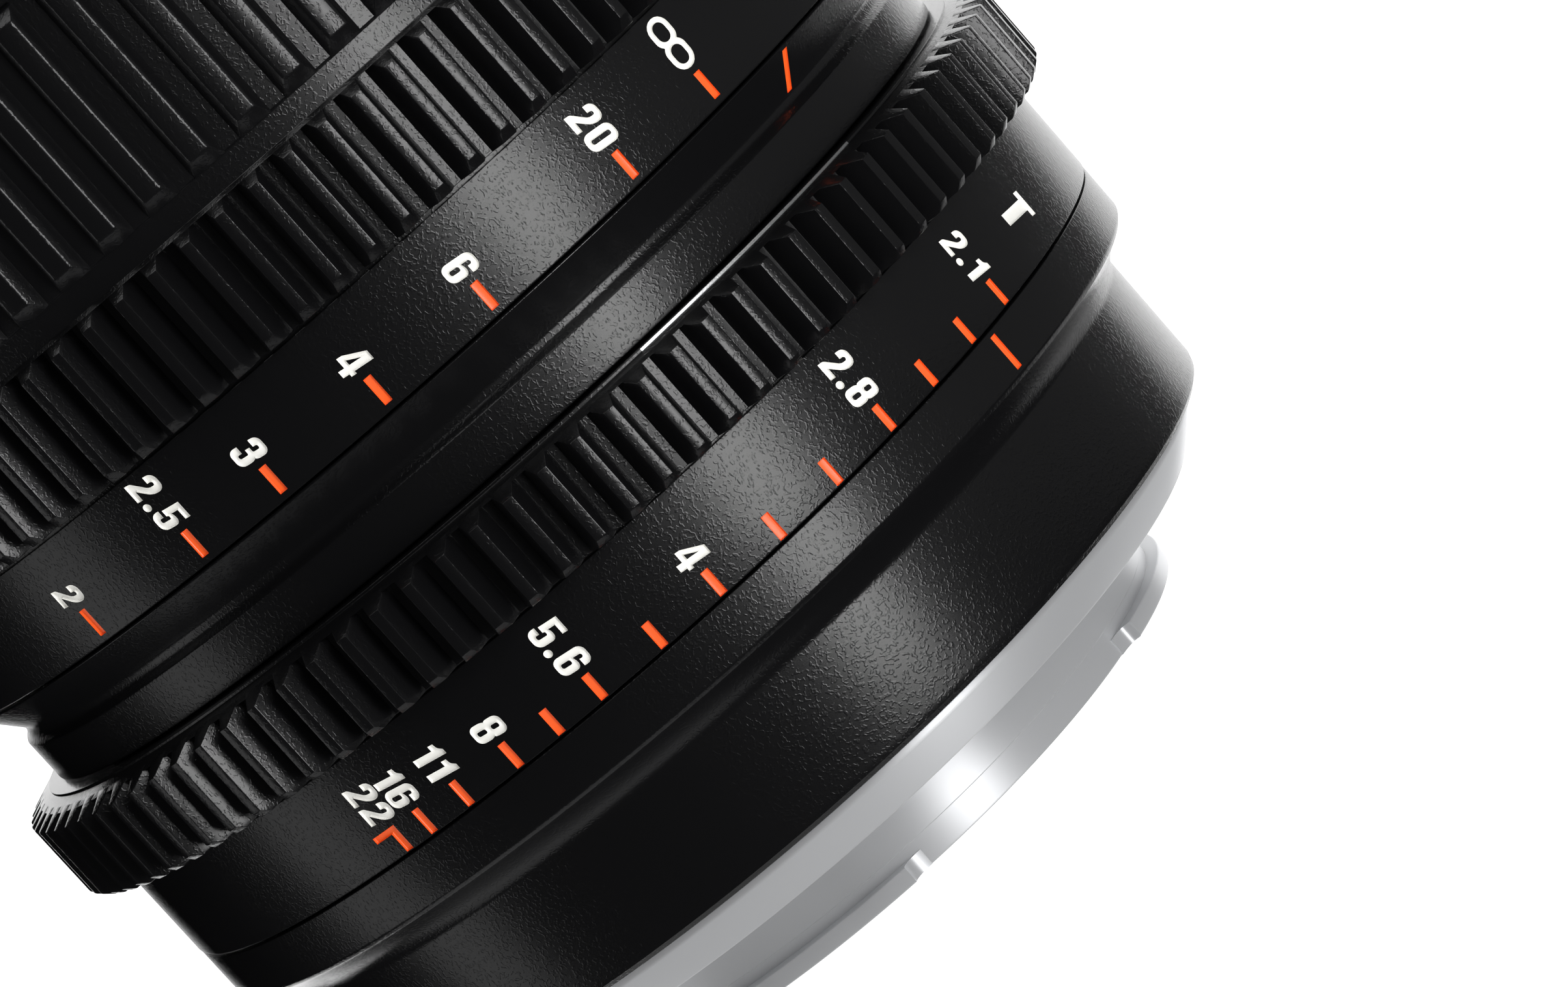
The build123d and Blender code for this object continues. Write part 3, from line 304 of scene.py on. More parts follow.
def ribs(bm, count, first, root, tip, gap_width, top_width, rear_slope, front_slope, ease):
    """Stands teeth or ribs on a ring, between a root and a tip radius.

    gap_width is that of the gap's floor. The ends slope, each from a (radius, z) low on the tooth
    to one at its tip."""
    tooth = bmesh.new()
    half = (2 * math.pi * root / count - gap_width) / 2
    outline = ((root - SUNK, -half - FLARE), (root, -half), (tip, -top_width / 2),
               (tip, top_width / 2), (root, half), (root - SUNK, half + FLARE))
    verts = [tooth.verts.new((x, y, rear_slope[0][1])) for x, y in outline]
    draw_out(tooth, [tooth.faces.new(verts)], (0, 0, front_slope[0][1] - rear_slope[0][1]))
    for (r0, z0), (r1, z1), up in ((*rear_slope, -1), (*front_slope, 1)):
        normal = Vector((z1 - z0, 0, r0 - r1)) * (1 if (r0 - r1) * up > 0 else -1)
        cut = bmesh.ops.bisect_plane(tooth, geom=tooth.verts[:] + tooth.edges[:] + tooth.faces[:],
                                     dist=1e-5, plane_co=(r1, 0, z1), plane_no=normal,
                                     clear_outer=True)
        rim = [e for e in cut["geom_cut"] if isinstance(e, bmesh.types.BMEdge)]
        bmesh.ops.holes_fill(tooth, edges=rim, sides=0)
    bmesh.ops.recalc_face_normals(tooth, faces=tooth.faces[:])
    above = [e for e in tooth.edges if max(v.co.x for v in e.verts) > root + 0.01]
    bmesh.ops.bevel(tooth, geom=above, offset=ease, offset_type="OFFSET", segments=2, profile=0.5,
                    affect="EDGES", material=-1)
    turn_round(tooth, first)
    bmesh.ops.spin(tooth, geom=tooth.verts[:] + tooth.edges[:] + tooth.faces[:], cent=(0, 0, 0),
                   axis=(0, 0, 1), dvec=(0, 0, 0), angle=2 * math.pi * (count - 1) / count,
                   steps=count - 1, use_merge=False, use_normal_flip=False, use_duplicate=True)
    join(bm, tooth)


def rod(radius, start, end, steps=24):
    """A round rod between two points."""
    bm = bmesh.new()
    a, b = Vector(start), Vector(end)
    along = (b - a).to_track_quat("Z", "Y").to_matrix().to_4x4()
    bmesh.ops.create_cone(bm, cap_ends=True, segments=steps, radius1=radius, radius2=radius,
                          depth=(b - a).length, matrix=Matrix.Translation((a + b) / 2) @ along)
    return bm


def polar(radius, angle, height=0.0):
    """A point at an angle about Z."""
    around = math.radians(angle)
    return (radius * math.cos(around), radius * math.sin(around), height)


# Engraved numerals, as outline loops of (along, up, ease) corners for a height of 1

SLIT = (0.225, 0.375, 0.06)     # left, right and corner ease of a numeral's counter


def slit(bottom, top):
    """A numeral's narrow counter."""
    left, right, ease = SLIT
    return [(left, bottom, ease), (right, bottom, ease), (right, top, ease), (left, top, ease)]


GLYPHS = {
    "0": (0.60, [[(0, 0, 0.24), (0.6, 0, 0.24), (0.6, 1, 0.24), (0, 1, 0.24)], slit(0.17, 0.83)]),
    "1": (0.46, [[(0.2, 0, 0), (0.45, 0, 0), (0.45, 1, 0), (0.29, 1, 0), (0.2, 0.87, 0.06),
                  (0.03, 0.84, 0), (0.03, 0.67, 0), (0.2, 0.67, 0)]]),
    "2": (0.60, [[(0, 0, 0), (0.58, 0, 0), (0.58, 0.19, 0), (0.27, 0.19, 0.02), (0.6, 0.56, 0.15),
                  (0.6, 1, 0.22), (0.02, 1, 0.22), (0.02, 0.66, 0), (0.24, 0.66, 0), (0.24, 0.82, 0.06),
                  (0.37, 0.82, 0.06), (0.37, 0.6, 0.08), (0, 0.2, 0.05)]]),
    "3": (0.60, [[(0, 0, 0.2), (0.6, 0, 0.2), (0.6, 0.47, 0.12), (0.54, 0.52, 0.03), (0.6, 0.57, 0.1),
                  (0.6, 1, 0.2), (0, 1, 0.2), (0, 0.7, 0), (0.235, 0.7, 0), (0.235, 0.83, 0.05),
                  (0.365, 0.83, 0.05), (0.365, 0.6, 0.05), (0.2, 0.6, 0), (0.2, 0.45, 0),
                  (0.365, 0.45, 0.05), (0.365, 0.17, 0.05), (0.235, 0.17, 0.05), (0.235, 0.32, 0),
                  (0, 0.32, 0)]]),
    "4": (0.64, [[(0.33, 0, 0), (0.55, 0, 0), (0.55, 0.2, 0), (0.64, 0.2, 0), (0.64, 0.37, 0),
                  (0.55, 0.37, 0), (0.55, 1, 0), (0.26, 1, 0), (0, 0.37, 0), (0, 0.2, 0),
                  (0.33, 0.2, 0)],
                 [(0.17, 0.37, 0), (0.33, 0.37, 0), (0.33, 0.76, 0)]]),
    "5": (0.60, [[(0, 0, 0.22), (0.6, 0, 0.22), (0.6, 0.63, 0.16), (0.34, 0.63, 0.03), (0.24, 0.59, 0),
                  (0.24, 0.82, 0), (0.57, 0.82, 0), (0.57, 1, 0), (0.04, 1, 0), (0.04, 0.41, 0),
                  (0.24, 0.41, 0), (0.26, 0.48, 0.03), (0.37, 0.48, 0.04), (0.37, 0.17, 0.05),
                  (0.23, 0.17, 0.05), (0.23, 0.31, 0), (0, 0.31, 0)]]),
    "6": (0.60, [[(0, 0, 0.22), (0.6, 0, 0.22), (0.6, 0.61, 0.16), (0.38, 0.61, 0.04), (0.235, 0.57, 0),
                  (0.235, 0.83, 0.06), (0.365, 0.83, 0.06), (0.365, 0.69, 0), (0.6, 0.69, 0),
                  (0.6, 1, 0.22), (0, 1, 0.22)],
                 slit(0.16, 0.47)]),
    "8": (0.60, [[(0, 0, 0.2), (0.6, 0, 0.2), (0.6, 0.47, 0.12), (0.55, 0.52, 0.03), (0.6, 0.57, 0.1),
                  (0.6, 1, 0.2), (0, 1, 0.2), (0, 0.57, 0.1), (0.05, 0.52, 0.03), (0, 0.47, 0.12)],
                 slit(0.15, 0.44), slit(0.61, 0.85)]),
    ".": (0.25, [[(0, 0, 0.12), (0.25, 0, 0.12), (0.25, 0.25, 0.12), (0, 0.25, 0.12)]]),
    "T": (0.56, [[(0.15, 0, 0), (0.41, 0, 0), (0.41, 0.84, 0), (0.56, 0.84, 0), (0.56, 1, 0), (0, 1, 0),
                  (0, 0.84, 0), (0.15, 0.84, 0)]]),
}
INFINITY = [[(0, 0, 0.8), (1.55, 0, 0.25), (1.79, 0.28, 0.08), (2.03, 0, 0.25), (3.58, 0, 0.8),
             (3.58, 1.7, 0.8), (2.03, 1.7, 0.25), (1.79, 1.42, 0.08), (1.55, 1.7, 0.25), (0, 1.7, 0.8)],
            [(0.34, 0.37, 0.45), (1.6, 0.37, 0.45), (1.6, 1.33, 0.45), (0.34, 1.33, 0.45)],
            [(1.98, 0.37, 0.45), (3.24, 0.37, 0.45), (3.24, 1.33, 0.45), (1.98, 1.33, 0.45)]]
GLYPH_GAP = 0.11        # between numerals, for a height of 1
GLYPH_SLANT = 0.13
NUMERAL_HEIGHT = 2.06
WHITE, ORANGE = 0, 1    # a mark's enamel, among its cutters' materials
MARK_DEPTH = 0.18
MARK_EASE = 0.12        # the engraving's rounded floor
MARK_ABOVE = 0.2        # how far a cutter stands above the surface


def engrave(cutters, loops, enamel, place, scale=1.0, slant=0.0, shift=(0, 0)):
    """Adds the cutter of one mark. place takes (along, up, depth) to a point of the lens."""
    bm = bmesh.new()
    for corners in loops:
        eased_loop(bm, [(x * scale + shift[0], z * scale + shift[1], ease * scale)
                        for x, z, ease in corners], 5)
    bmesh.ops.delete(bm, geom=bm.faces[:], context="FACES_ONLY")
    bmesh.ops.triangle_fill(bm, use_beauty=True, use_dissolve=False, edges=bm.edges[:],
                            normal=(0, -1, 0))
    added = draw_out(bm, bm.faces[:], (0, MARK_DEPTH + MARK_ABOVE, 0))
    cap = [f for f in added if isinstance(f, bmesh.types.BMFace)]
    rim = [e for e in bm.edges if sum(f in cap for f in e.link_faces) == 1]
    bmesh.ops.bevel(bm, geom=rim, offset=MARK_EASE, offset_type="OFFSET", segments=3, profile=0.5,
                    affect="EDGES", material=-1)
    for vert in bm.verts:
        x, y, z = vert.co
        vert.co = place(x + slant * (z - shift[1]), z, y - MARK_ABOVE)
    for face in bm.faces:
        face.material_index = enamel
    bm.normal_update()
    bmesh.ops.recalc_face_normals(bm, faces=bm.faces[:])
    join(cutters, bm)


def on_band(surface, angle, start):
    """Places marks on a band: along runs from start towards the mount, up runs round the lens."""
    def place(along, up, depth):
        return polar(surface - depth, angle + math.degrees(up / surface), start - along)
    return place


def numeral(cutters, words, surface, angle, tick_front, gap):
    """Engraves a number a gap in front of its tick and level with it."""
    height = NUMERAL_HEIGHT
    widths = [GLYPHS[w][0] for w in words]
    total = (sum(widths) + GLYPH_GAP * (len(words) - 1) + GLYPH_SLANT) * height
    place = on_band(surface, angle, tick_front + gap + total)
    along = 0.0
    for word, width in zip(words, widths):
        engrave(cutters, GLYPHS[word][1], WHITE, place, height, GLYPH_SLANT, (along, -height / 2))
        along += (width + GLYPH_GAP) * height


def bar(length, width):
    """The outline of a tick or an index."""
    half = width / 2
    return [[(0, -half, 0), (length, -half, 0), (length, half, 0), (0, half, 0)]]


def tick(cutters, surface, angle, front_end, length, width):
    """Engraves a tick that runs along the axis."""
    engrave(cutters, bar(length, width), ORANGE, on_band(surface, angle, front_end))


def make_object(name, bm, finishes, metres=True):
    """Makes a bmesh an object with materials and smooth shading between its sharp edges."""
    mesh = bpy.data.meshes.new(name)
    if metres:
        bmesh.ops.scale(bm, vec=(MM, MM, MM), verts=bm.verts[:])
    bm.to_mesh(mesh)
    bm.free()
    for finish in finishes:
        mesh.materials.append(finish)
    mesh.shade_smooth()
    mesh.set_sharp_from_angle(angle=math.radians(SHARP_ANGLE))
    obj = bpy.data.objects.new(name, mesh)
    bpy.context.collection.objects.link(obj)
    return obj


def cut_away(bm, cutters, finishes):
    """Cuts marks out of a bmesh; each cut keeps its cutter's material. Returns the new bmesh."""
    stock = make_object("cut_body", bm, finishes[:1], metres=False)
    tool = make_object("cut_tool", cutters, finishes[1:] or finishes, metres=False)
    boolean = stock.modifiers.new("cut", "BOOLEAN")
    boolean.operation, boolean.solver, boolean.object = "DIFFERENCE", "EXACT", tool
    boolean.material_mode = "TRANSFER"
    done = bpy.data.meshes.new_from_object(stock.evaluated_get(bpy.context.evaluated_depsgraph_get()))
    order = {m.name: i for i, m in enumerate(finishes)}
    slots = [order[m.name] for m in done.materials]
    result = bmesh.new()
    result.from_mesh(done)
    for face in result.faces:
        face.material_index = slots[face.material_index]
    for obj in (stock, tool):
        held = obj.data
        bpy.data.objects.remove(obj)
        bpy.data.meshes.remove(held)
    bpy.data.meshes.remove(done)
    return result


# Real sizes of the outside, from the mount forwards

TIP_R = 40.0
ROOT_R = 38.2
TOOTH_COUNT = 98
TOOTH_FLOOR = 0.52
TOOTH_TOP = 0.70
TOOTH_EASE = 0.06
BORE_R = 34.5
SLEEVE_R = 36.35
GUIDE_R = 33.4
BARREL_R = 34.8
INDEX_R = 37.4
T_R = 37.45
MID_R = 36.55
LIP_R = 38.2
F_R = 38.4
PLAIN_R = 38.9
Z_FLANGE, Z_COVE, Z_INDEX, Z_REAR_END = 3.1, 11.6, 13.85, 17.28
Z_T, Z_T_BAND, Z_T_GEAR, Z_T_RIM, Z_T_END = 17.45, 24.3, 24.55, 30.85, 31.22
Z_MID, Z_MID_COVE, Z_MID_LIP, Z_MID_END = 31.39, 34.49, 37.89, 37.99
SLOPE_R, Z_SLOPE = 36.15, 35.49
Z_F, Z_F_BAND, Z_F_GEAR, Z_F_PLAIN = 38.16, 44.96, 45.21, 53.56
Z_GRIP, Z_GRIP_END, Z_F_END = 55.26, 69.46, 70.96
Z_FRONT, Z_TOP = 71.26, 87.96
INKS = [BLACK_PAINT, WHITE_ENAMEL, ORANGE_ENAMEL, LIP_HIGHLIGHT_METAL]
TICK_WIDTH = 0.55
GROOVE_DEPTH = 0.35     # of the groove between a scale band and its teeth
END_SLOPE = 0.65        # length of the teeth's front slope along the axis
REAR_SLOPE_DROP = 0.55  # height of their rear slope


def paint_edge_highlight(bm, height, reach, inner, first, last):
    """Paints a highlight in bright metal on an edge at a height, outside a radius and between two
    angles.
    """
    for face in bm.faces:
        centre = face.calc_center_median()
        angle = math.degrees(math.atan2(centre.y, centre.x))
        if (abs(centre.z - height) < reach and math.hypot(centre.x, centre.y) > inner
                and first < angle < last):
            face.material_index = INKS.index(LIP_HIGHLIGHT_METAL)


# Rear barrel with the aperture index
COVE_END_R = INDEX_R - 0.25
REAR_COVE_SAG = 0.42
INDEX_ANGLE = 90.0
INDEX_FRONT = 16.95
INDEX_LENGTH = 2.5
INDEX_WIDTH = 0.5
rear_shape = spun([(GUIDE_R, Z_FLANGE, 0), (BARREL_R, Z_FLANGE, 0.9), (BARREL_R, Z_COVE, 0.15)]
                  + bow((BARREL_R, Z_COVE), (COVE_END_R, Z_INDEX), REAR_COVE_SAG, 10)
                  + [(COVE_END_R, Z_INDEX, 0.05), (INDEX_R, Z_INDEX + 0.3, 0.12),
                     (INDEX_R, Z_REAR_END, 0.12), (GUIDE_R, Z_REAR_END, 0)])
rear_cuts = bmesh.new()
tick(rear_cuts, INDEX_R, INDEX_ANGLE, INDEX_FRONT, INDEX_LENGTH, INDEX_WIDTH)
rear_piece = make_object("rear_barrel_shell", cut_away(rear_shape, rear_cuts, INKS), INKS)

# Aperture ring: its scale band, teeth, ticks and numbers
T_TICK_FRONT = 19.33
T_TICK_LENGTH = 1.78
T_NUMBER_GAP = 0.33
# The angle of each tick from the index, and its number
T_STOPS = ((4.2, "2.1"), (-2.2, ""), (-8.66, ""), (-15.0, "2.8"), (-22.33, ""), (-29.5, ""),
           (-36.77, "4"), (-43.7, ""), (-50.68, "5.6"), (-55.71, ""), (-60.64, "8"), (-66.75, "11"),
           (-71.57, "16"), (-74.88, "22"))
# The last tick has a hook at its front end
HOOK_REACH, HOOK_WIDTH = 1.6, 0.42
HOOKED_TICK = [[(0, -HOOK_REACH, 0), (HOOK_WIDTH, -HOOK_REACH, 0), (HOOK_WIDTH, -TICK_WIDTH / 2, 0),
                (T_TICK_LENGTH, -TICK_WIDTH / 2, 0), (T_TICK_LENGTH, TICK_WIDTH / 2, 0),
                (0, TICK_WIDTH / 2, 0)]]
T_MARK_OFFSET = 12.2    # of the T, from the index
T_MARK_FRONT = 21.6
T_MARK_HEIGHT = 3.25
T_MARK_SLANT = GLYPH_SLANT * 0.8
T_FIRST_TOOTH = 74.33
T_REAR_SLOPE = 0.5
RIM_R = ROOT_R + 0.15
RIM_WEB = 0.18
RIM_FALL = (TIP_R - RIM_R) / END_SLOPE      # radius lost for each millimetre of the front slope
T_LIP = 0.17            # height of the ring's front lip, where bright metal is painted as its highlight
T_LIP_R = T_R + 0.15
# Angles round the lip over which its highlight is painted in bright metal
LIP_HIGHLIGHT_FROM, LIP_HIGHLIGHT_TO = 62, 92
LIP_HIGHLIGHT_REACH = 0.09       # either way from the lip's middle
aperture_shape = spun([
    (BORE_R, Z_T, 0), (T_R, Z_T, 0.12), (T_R, Z_T_BAND, 0.08), (T_R - GROOVE_DEPTH, Z_T_BAND, 0),
    (T_R - GROOVE_DEPTH, Z_T_GEAR, 0), (ROOT_R, Z_T_GEAR, 0.06), (ROOT_R, Z_T_RIM - RIM_WEB, 0),
    (RIM_R + RIM_WEB * RIM_FALL, Z_T_RIM - RIM_WEB, 0.03), (RIM_R, Z_T_RIM, 0.1),
    (T_LIP_R, Z_T_END - T_LIP, 0.03), (T_LIP_R, Z_T_END, 0.05), (BORE_R, Z_T_END, 0)])
aperture_cuts = bmesh.new()
for offset, words in T_STOPS:
    angle = INDEX_ANGLE + offset
    if words == "22":
        engrave(aperture_cuts, HOOKED_TICK, ORANGE, on_band(T_R, angle, T_TICK_FRONT))
    else:
        tick(aperture_cuts, T_R, angle, T_TICK_FRONT, T_TICK_LENGTH, TICK_WIDTH)
    if words:
        numeral(aperture_cuts, words, T_R, angle, T_TICK_FRONT, T_NUMBER_GAP)
engrave(aperture_cuts, GLYPHS["T"][1], WHITE,
        on_band(T_R, INDEX_ANGLE + T_MARK_OFFSET, T_MARK_FRONT), T_MARK_HEIGHT, T_MARK_SLANT)
aperture_shape = cut_away(aperture_shape, aperture_cuts, INKS)
# Painted highlight: bright metal on the lip's edge, only over the angles where the light catches it
paint_edge_highlight(aperture_shape, Z_T_END - T_LIP / 2, LIP_HIGHLIGHT_REACH, T_LIP_R - 0.05, LIP_HIGHLIGHT_FROM, LIP_HIGHLIGHT_TO)
ribs(aperture_shape, TOOTH_COUNT, T_FIRST_TOOTH, ROOT_R, TIP_R, TOOTH_FLOOR, TOOTH_TOP,
     ((TIP_R - REAR_SLOPE_DROP, Z_T_GEAR), (TIP_R, Z_T_GEAR + T_REAR_SLOPE)),
     ((RIM_R, Z_T_RIM), (TIP_R, Z_T_RIM - END_SLOPE)), TOOTH_EASE)
aperture_piece = make_object("aperture_ring_shell", aperture_shape, INKS)

# Middle barrel with the focus index in its cove
COVE_START = (MID_R - 0.1, Z_MID_COVE + 0.02)
MID_COVE_SAG = 0.22
FOCUS_INDEX_ANGLE = 93.1
FOCUS_INDEX_FRONT = 37.68
FOCUS_INDEX_LENGTH = 2.2
FOCUS_INDEX_WIDTH = 0.54
middle_shape = spun([(GUIDE_R, Z_MID, 0), (MID_R, Z_MID, 0.15), (MID_R, Z_MID_COVE - 0.12, 0.06),
                     (*COVE_START, 0)]
                    + bow(COVE_START, (SLOPE_R, Z_SLOPE), MID_COVE_SAG, 6)
                    + [(SLOPE_R, Z_SLOPE, 0), (LIP_R, Z_MID_LIP, 0.06),
                       (LIP_R - 0.1, Z_MID_END, 0), (GUIDE_R, Z_MID_END, 0)])
middle_cuts = bmesh.new()


def in_cove(along, up, depth):
    """Places the focus index along the cove's slope."""
    height = FOCUS_INDEX_FRONT - along
    surface = SLOPE_R + (height - Z_SLOPE) * (LIP_R - SLOPE_R) / (Z_MID_LIP - Z_SLOPE)
    return polar(surface - depth, FOCUS_INDEX_ANGLE + math.degrees(up / surface), height)


engrave(middle_cuts, bar(FOCUS_INDEX_LENGTH, FOCUS_INDEX_WIDTH), ORANGE, in_cove)
middle_piece = make_object("mid_barrel_shell", cut_away(middle_shape, middle_cuts, INKS), INKS)

# Focus ring: scale band, teeth, plain band and ribbed grip
F_TICK_FRONT = 40.5
F_TICK_LENGTH = 1.9
F_NUMBER_GAP = 0.36
INFINITY_ANGLE = 83.0
INFINITY_GAP = 0.42
INFINITY_WIDTH, INFINITY_HEIGHT = 3.58, 1.7
# A distance in feet stands at the far angle less a share that falls as the distance grows
FAR_ANGLE = 78.9
FEET_SHARE = 144.5
FOCUS_MARKS = ((INFINITY_ANGLE, None),) + tuple(
    (FAR_ANGLE - FEET_SHARE / float(feet), feet)
    for feet in ("20", "6", "4", "3", "2.5", "2", "1.5", "1.2"))
F_FIRST_TOOTH = 65.0
F_REAR_SLOPE = 0.7
F_WEB = 0.1
RIB_COUNT = 72
RIB_TOP = 1.32
RIB_EASE = 0.15
GRIP_DEPTH = 0.9
RIB_FOOT = 1.5 + GRIP_DEPTH
GRIP_FLOOR_R = TIP_R - GRIP_DEPTH
F_END_R = TIP_R - 0.5
focus_shape = spun([
    (SLEEVE_R, Z_F, 0), (F_R, Z_F, 0.15), (F_R, Z_F_BAND, 0.08), (F_R - GROOVE_DEPTH, Z_F_BAND, 0),
    (F_R - GROOVE_DEPTH, Z_F_GEAR, 0), (ROOT_R, Z_F_GEAR, 0.06), (ROOT_R, Z_F_PLAIN - F_WEB, 0),
    (PLAIN_R + 0.3, Z_F_PLAIN - F_WEB, 0.03), (PLAIN_R, Z_F_PLAIN + 0.15, 0.05),
    (PLAIN_R, Z_GRIP, 0.1), (GRIP_FLOOR_R, Z_GRIP + 0.1, 0.05), (GRIP_FLOOR_R, Z_GRIP_END, 0.05),
    (F_END_R, Z_GRIP_END, 0.15), (F_END_R, Z_F_END, 0.4), (SLEEVE_R, Z_F_END, 0)])
focus_cuts = bmesh.new()
for angle, words in FOCUS_MARKS:
    tick(focus_cuts, F_R, angle, F_TICK_FRONT, F_TICK_LENGTH, TICK_WIDTH)
    if words:
        numeral(focus_cuts, words, F_R, angle, F_TICK_FRONT, F_NUMBER_GAP)
engrave(focus_cuts, INFINITY, WHITE,
        on_band(F_R, INFINITY_ANGLE, F_TICK_FRONT + INFINITY_GAP + INFINITY_WIDTH),
        shift=(0, -INFINITY_HEIGHT / 2))
focus_shape = cut_away(focus_shape, focus_cuts, INKS)
ribs(focus_shape, TOOTH_COUNT, F_FIRST_TOOTH, ROOT_R, TIP_R, TOOTH_FLOOR, TOOTH_TOP,
     ((TIP_R - REAR_SLOPE_DROP, Z_F_GEAR), (TIP_R, Z_F_GEAR + F_REAR_SLOPE)),
     ((PLAIN_R + 0.15, Z_F_PLAIN), (TIP_R, Z_F_PLAIN - END_SLOPE)), TOOTH_EASE)
ribs(focus_shape, RIB_COUNT, 0.0, GRIP_FLOOR_R, TIP_R, 2 * math.pi * TIP_R / RIB_COUNT - RIB_FOOT,
     RIB_TOP, ((GRIP_FLOOR_R, Z_GRIP), (TIP_R, Z_GRIP + GRIP_DEPTH)),
     ((GRIP_FLOOR_R, Z_GRIP_END), (TIP_R, Z_GRIP_END - GRIP_DEPTH)), RIB_EASE)
focus_piece = make_object("focus_ring_shell", focus_shape, INKS)

# Front barrel with its filter thread and grub screw holes
THREAD_PITCH = 0.75
THREAD_DEPTH = 0.38
THREAD_TURNS = 5
THREAD_TOP = Z_TOP - 0.5
FILTER_R = 38.1
FILTER_LOW = Z_TOP - 4.4
FRONT_WALL_R = 37.0
FRONT_BORE_R = 32.0
Z_FRONT_SEAT, Z_FRONT_FLOOR = Z_FRONT + 7.7, Z_FRONT + 8.7
Z_GRUB_SCREW = Z_FRONT + 2.9
GRUB_SCREW_R = 0.95
thread = []
for number in range(THREAD_TURNS):
    crest = THREAD_TOP - number * THREAD_PITCH
    thread += [(FILTER_R, crest, 0.02), (FILTER_R + THREAD_DEPTH, crest - THREAD_PITCH / 2, 0.04)]
front_shape = spun([(GUIDE_R, Z_FRONT, 0), (TIP_R, Z_FRONT, 0.3), (TIP_R, Z_TOP, 0.5),
                    (FILTER_R + 0.3, Z_TOP, 0.1)] + thread
                   + [(FILTER_R, THREAD_TOP - THREAD_TURNS * THREAD_PITCH, 0.02),
                      (FILTER_R, FILTER_LOW, 0.05), (FRONT_WALL_R, FILTER_LOW, 0.08),
                      (FRONT_WALL_R, Z_FRONT_FLOOR, 0), (FRONT_BORE_R, Z_FRONT_FLOOR, 0),
                      (FRONT_BORE_R, Z_FRONT_SEAT, 0), (GUIDE_R, Z_FRONT_SEAT, 0)])
front_holes = bmesh.new()
for angle in (30, 150, 270):
    join(front_holes, rod(GRUB_SCREW_R, polar(GUIDE_R - 1, angle, Z_GRUB_SCREW),
                          polar(TIP_R + 1, angle, Z_GRUB_SCREW)))
front_shape = cut_away(front_shape, front_holes, [BLACK_PAINT])
front_piece = make_object("front_barrel_shell", front_shape, [BLACK_PAINT])

# Mount flange with its bayonet lugs, screw holes and lock notch
THROAT_R = 21.0
THROAT_STEP_R = 23.0
Z_THROAT_STEP = 2.1
SPIGOT_R = 24.4
SPIGOT_REAR_R = SPIGOT_R - 0.08
SPIGOT_LEN = 5.3
CONE_REAR_R = 31.0
CONE_LEN = 2.6
FLANGE_R = 33.45
LUG_R = 25.3
LUG_SPAN = 67.2
LUG_ANGLE = 14.85
LUG_ROOT_R = SPIGOT_R - 0.5
Z_LUG, Z_LUG_END = -5.28, -4.1
LUG_FILLET = 1.35
FILLET_RISE = 0.68      # of the fillet above the spigot
FILLET_LIFT = 0.06      # of the fillet off the lug's end
FILLET_STEPS = 6
Z_FILLET = Z_LUG + 0.02
SCREW_CIRCLE_R = 28.0
SCREW_HEAD_R, SCREW_HEAD_DEPTH = 1.9, 1.0
SCREW_SHANK_R = 1.0
NOTCH_ANGLE = 196.0
NOTCH_CIRCLE_R = 28.9
NOTCH_R, NOTCH_DEPTH = 1.6, 1.5


def lug_fillet(end, side):
    """The hollow corner between a lug's end and the spigot."""
    bm = bmesh.new()
    corners = [(LUG_R - 0.04, 0), (LUG_R - 0.22, 0.04)]
    for i in range(1, FILLET_STEPS + 1):
        bend = math.radians(90 * i / FILLET_STEPS)
        corners.append((SPIGOT_R + FILLET_RISE * (1 - math.sin(bend)),
                        LUG_FILLET * (1 - math.cos(bend)) + FILLET_LIFT))
    corners += [(SPIGOT_R - 0.3, LUG_FILLET + FILLET_LIFT), (SPIGOT_R - 0.3, 0)]
    verts = [bm.verts.new((r * math.cos(up * side / r), r * math.sin(up * side / r), Z_FILLET))
             for r, up in corners]
    draw_out(bm, [bm.faces.new(verts)], (0, 0, Z_LUG_END - Z_FILLET))
    turn_round(bm, end)
    bm.normal_update()
    bmesh.ops.recalc_face_normals(bm, faces=bm.faces[:])
    return bm


def axial_hole(cutters, radius, circle, angle, bottom, top, steps):
    """Adds the cutter of a hole that runs along the axis."""
    join(cutters, rod(radius, polar(circle, angle, bottom), polar(circle, angle, top), steps))


flange_shape = spun([
    (THROAT_R, -SPIGOT_LEN, 0.15), (SPIGOT_REAR_R, -SPIGOT_LEN, 0.2), (SPIGOT_REAR_R, -3.42, 0),
    (SPIGOT_R, -3.34, 0), (SPIGOT_R, 0, 0.25), (CONE_REAR_R, 0, 0.25), (FLANGE_R, CONE_LEN, 0.14),
    (FLANGE_R, Z_FLANGE, 0.05), (THROAT_STEP_R, Z_FLANGE, 0), (THROAT_STEP_R, Z_THROAT_STEP, 0),
    (THROAT_R, Z_THROAT_STEP, 0.05)])
flange_holes = bmesh.new()
for angle in (40, 130, 220, 310):
    axial_hole(flange_holes, SCREW_HEAD_R, SCREW_CIRCLE_R, angle, -1, SCREW_HEAD_DEPTH, 48)
    axial_hole(flange_holes, SCREW_SHANK_R, SCREW_CIRCLE_R, angle, SCREW_HEAD_DEPTH - 0.1, 4, 32)
axial_hole(flange_holes, NOTCH_R, NOTCH_CIRCLE_R, NOTCH_ANGLE, -1, NOTCH_DEPTH, 48)
flange_shape = cut_away(flange_shape, flange_holes, [SATIN_CHROME])
for angle in (LUG_ANGLE, LUG_ANGLE + 120, LUG_ANGLE + 240):
    lug = spun([(LUG_ROOT_R, Z_LUG, 0), (LUG_R, Z_LUG, 0.2), (LUG_R, Z_LUG_END, 0.12),
                (LUG_ROOT_R, Z_LUG_END, 0)], angle - LUG_SPAN / 2, LUG_SPAN, 64)
    join(flange_shape, lug)
    for side in (-1, 1):
        join(flange_shape, lug_fillet(angle + side * LUG_SPAN / 2, side))
flange_piece = make_object("mount_flange_shell", flange_shape, [SATIN_CHROME])

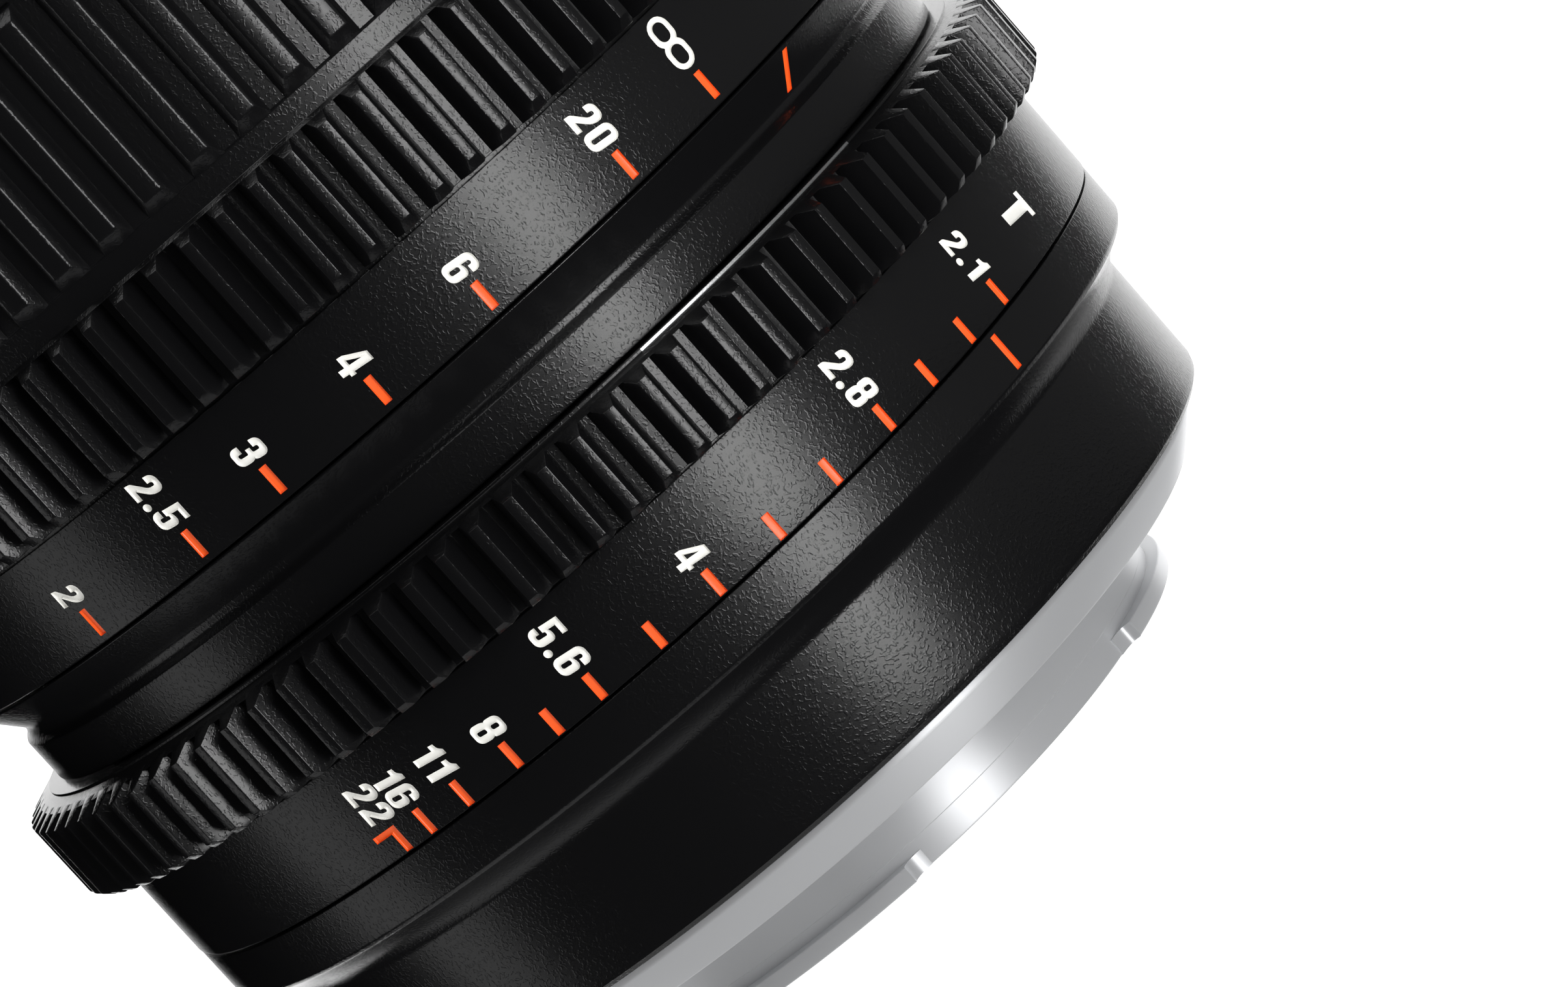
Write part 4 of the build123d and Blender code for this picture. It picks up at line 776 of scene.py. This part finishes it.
for piece, body, node_name in (
        (rear_piece, "barrel", "rear_barrel"), (aperture_piece, "aperture", "aperture_ring"),
        (middle_piece, "barrel", "mid_barrel"), (focus_piece, "focus", "focus_ring"),
        (front_piece, "barrel", "front_barrel"), (flange_piece, "barrel", "mount_flange")):
    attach(piece, body)
    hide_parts(node_name)

# Light, floor and camera

PANEL_AIM = (0, 0, 28)


def panel(name, azimuth, elevation, distance, width, height, bright):
    """A softbox that faces the lens, as bright as a multiple of a white wall."""
    light = bpy.data.lights.new(name, "AREA")
    light.shape = "RECTANGLE"
    light.size, light.size_y = width * MM, height * MM
    light.energy = bright * math.pi * light.size * light.size_y
    obj = bpy.data.objects.new(name, light)
    az, el = math.radians(azimuth), math.radians(elevation)
    away = Vector((math.cos(az) * math.cos(el), math.sin(az) * math.cos(el), math.sin(el)))
    facing = away.to_track_quat("Z", "Y").to_matrix().to_4x4()
    obj.matrix_world = Matrix.Translation((Vector(PANEL_AIM) + away * distance) * MM) @ facing
    obj.visible_camera = False
    bpy.context.collection.objects.link(obj)


# Each panel's azimuth, elevation, distance, width, height and brightness
panel("Key strip", 75, 4, 420, 116, 460, 7.6)
panel("Right panel", 217, 1, 420, 560, 420, 1.8)
panel("Low right panel", 190, -36, 420, 240, 180, 0.5)
panel("Dim right panel", 142, 0, 420, 700, 360, 0.12)
panel("Back panel", 236, -36, 420, 360, 180, 2.2)
panel("Left panel", -35, 0, 450, 160, 460, 0.8)
panel("Top panel", 75, 78, 420, 420, 420, 1.6)
panel("Low panel", 290, -70, 420, 400, 400, 0.38)

FLOOR_HALF_METRES = 3.0
floor_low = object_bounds()[0][2]
floor_mesh = bmesh.new()
bmesh.ops.create_grid(floor_mesh, x_segments=1, y_segments=1, size=FLOOR_HALF_METRES,
                      matrix=Matrix.Translation((0, 0, floor_low)))
floor_data = bpy.data.meshes.new("Floor")
floor_mesh.to_mesh(floor_data)
floor = bpy.data.objects.new("Floor", floor_data)
bpy.context.collection.objects.link(floor)
# Opal acrylic sheet, lit from below
TABLE = plain_finish("White acrylic light table", "#a0a0a0", 0.9, 0.0, 1.0, 0.01,
                     Emission_Color=(1, 1, 1, 1), Emission_Strength=0.95)
finish_throughout(floor, TABLE)
# The table isn't mirrored in the lens, and the low panels shine through it
floor.visible_glossy = False
floor.visible_shadow = False

# The white backdrop shows behind the lens and lights none of it
world = bpy.data.worlds.new("Studio")
bpy.context.scene.world = world
world.use_nodes = True
backdrop = world.node_tree.nodes["Background"]
backdrop.inputs["Color"].default_value = (1, 1, 1, 1)
backdrop.inputs["Strength"].default_value = 1.0
world.cycles_visibility.glossy = False
world.cycles_visibility.diffuse = False
bpy.context.scene.view_settings.view_transform = "Standard"

# The camera stands where the photograph was taken from
CAMERA_PLACE = (227.68, 272.03, 68.81)
CAMERA_AIM = (-7.059, 6.235, 13.802)
CAMERA_ROLL = 41.535
CAMERA_LENS = 128.95    # focal length for a sensor 36 mm wide
camera_data = bpy.data.cameras.new("Camera")
camera_data.lens = CAMERA_LENS
camera_data.sensor_width = 36.0
camera_data.clip_start = 0.01
camera = bpy.data.objects.new("Camera", camera_data)
back = (Vector(CAMERA_PLACE) - Vector(CAMERA_AIM)).normalized()
stance = back.to_track_quat("Z", "Y").to_matrix() @ Matrix.Rotation(-math.radians(CAMERA_ROLL), 3, "Z")
camera.matrix_world = Matrix.Translation(Vector(CAMERA_PLACE) * MM) @ stance.to_4x4()
bpy.context.collection.objects.link(camera)
bpy.context.scene.camera = camera
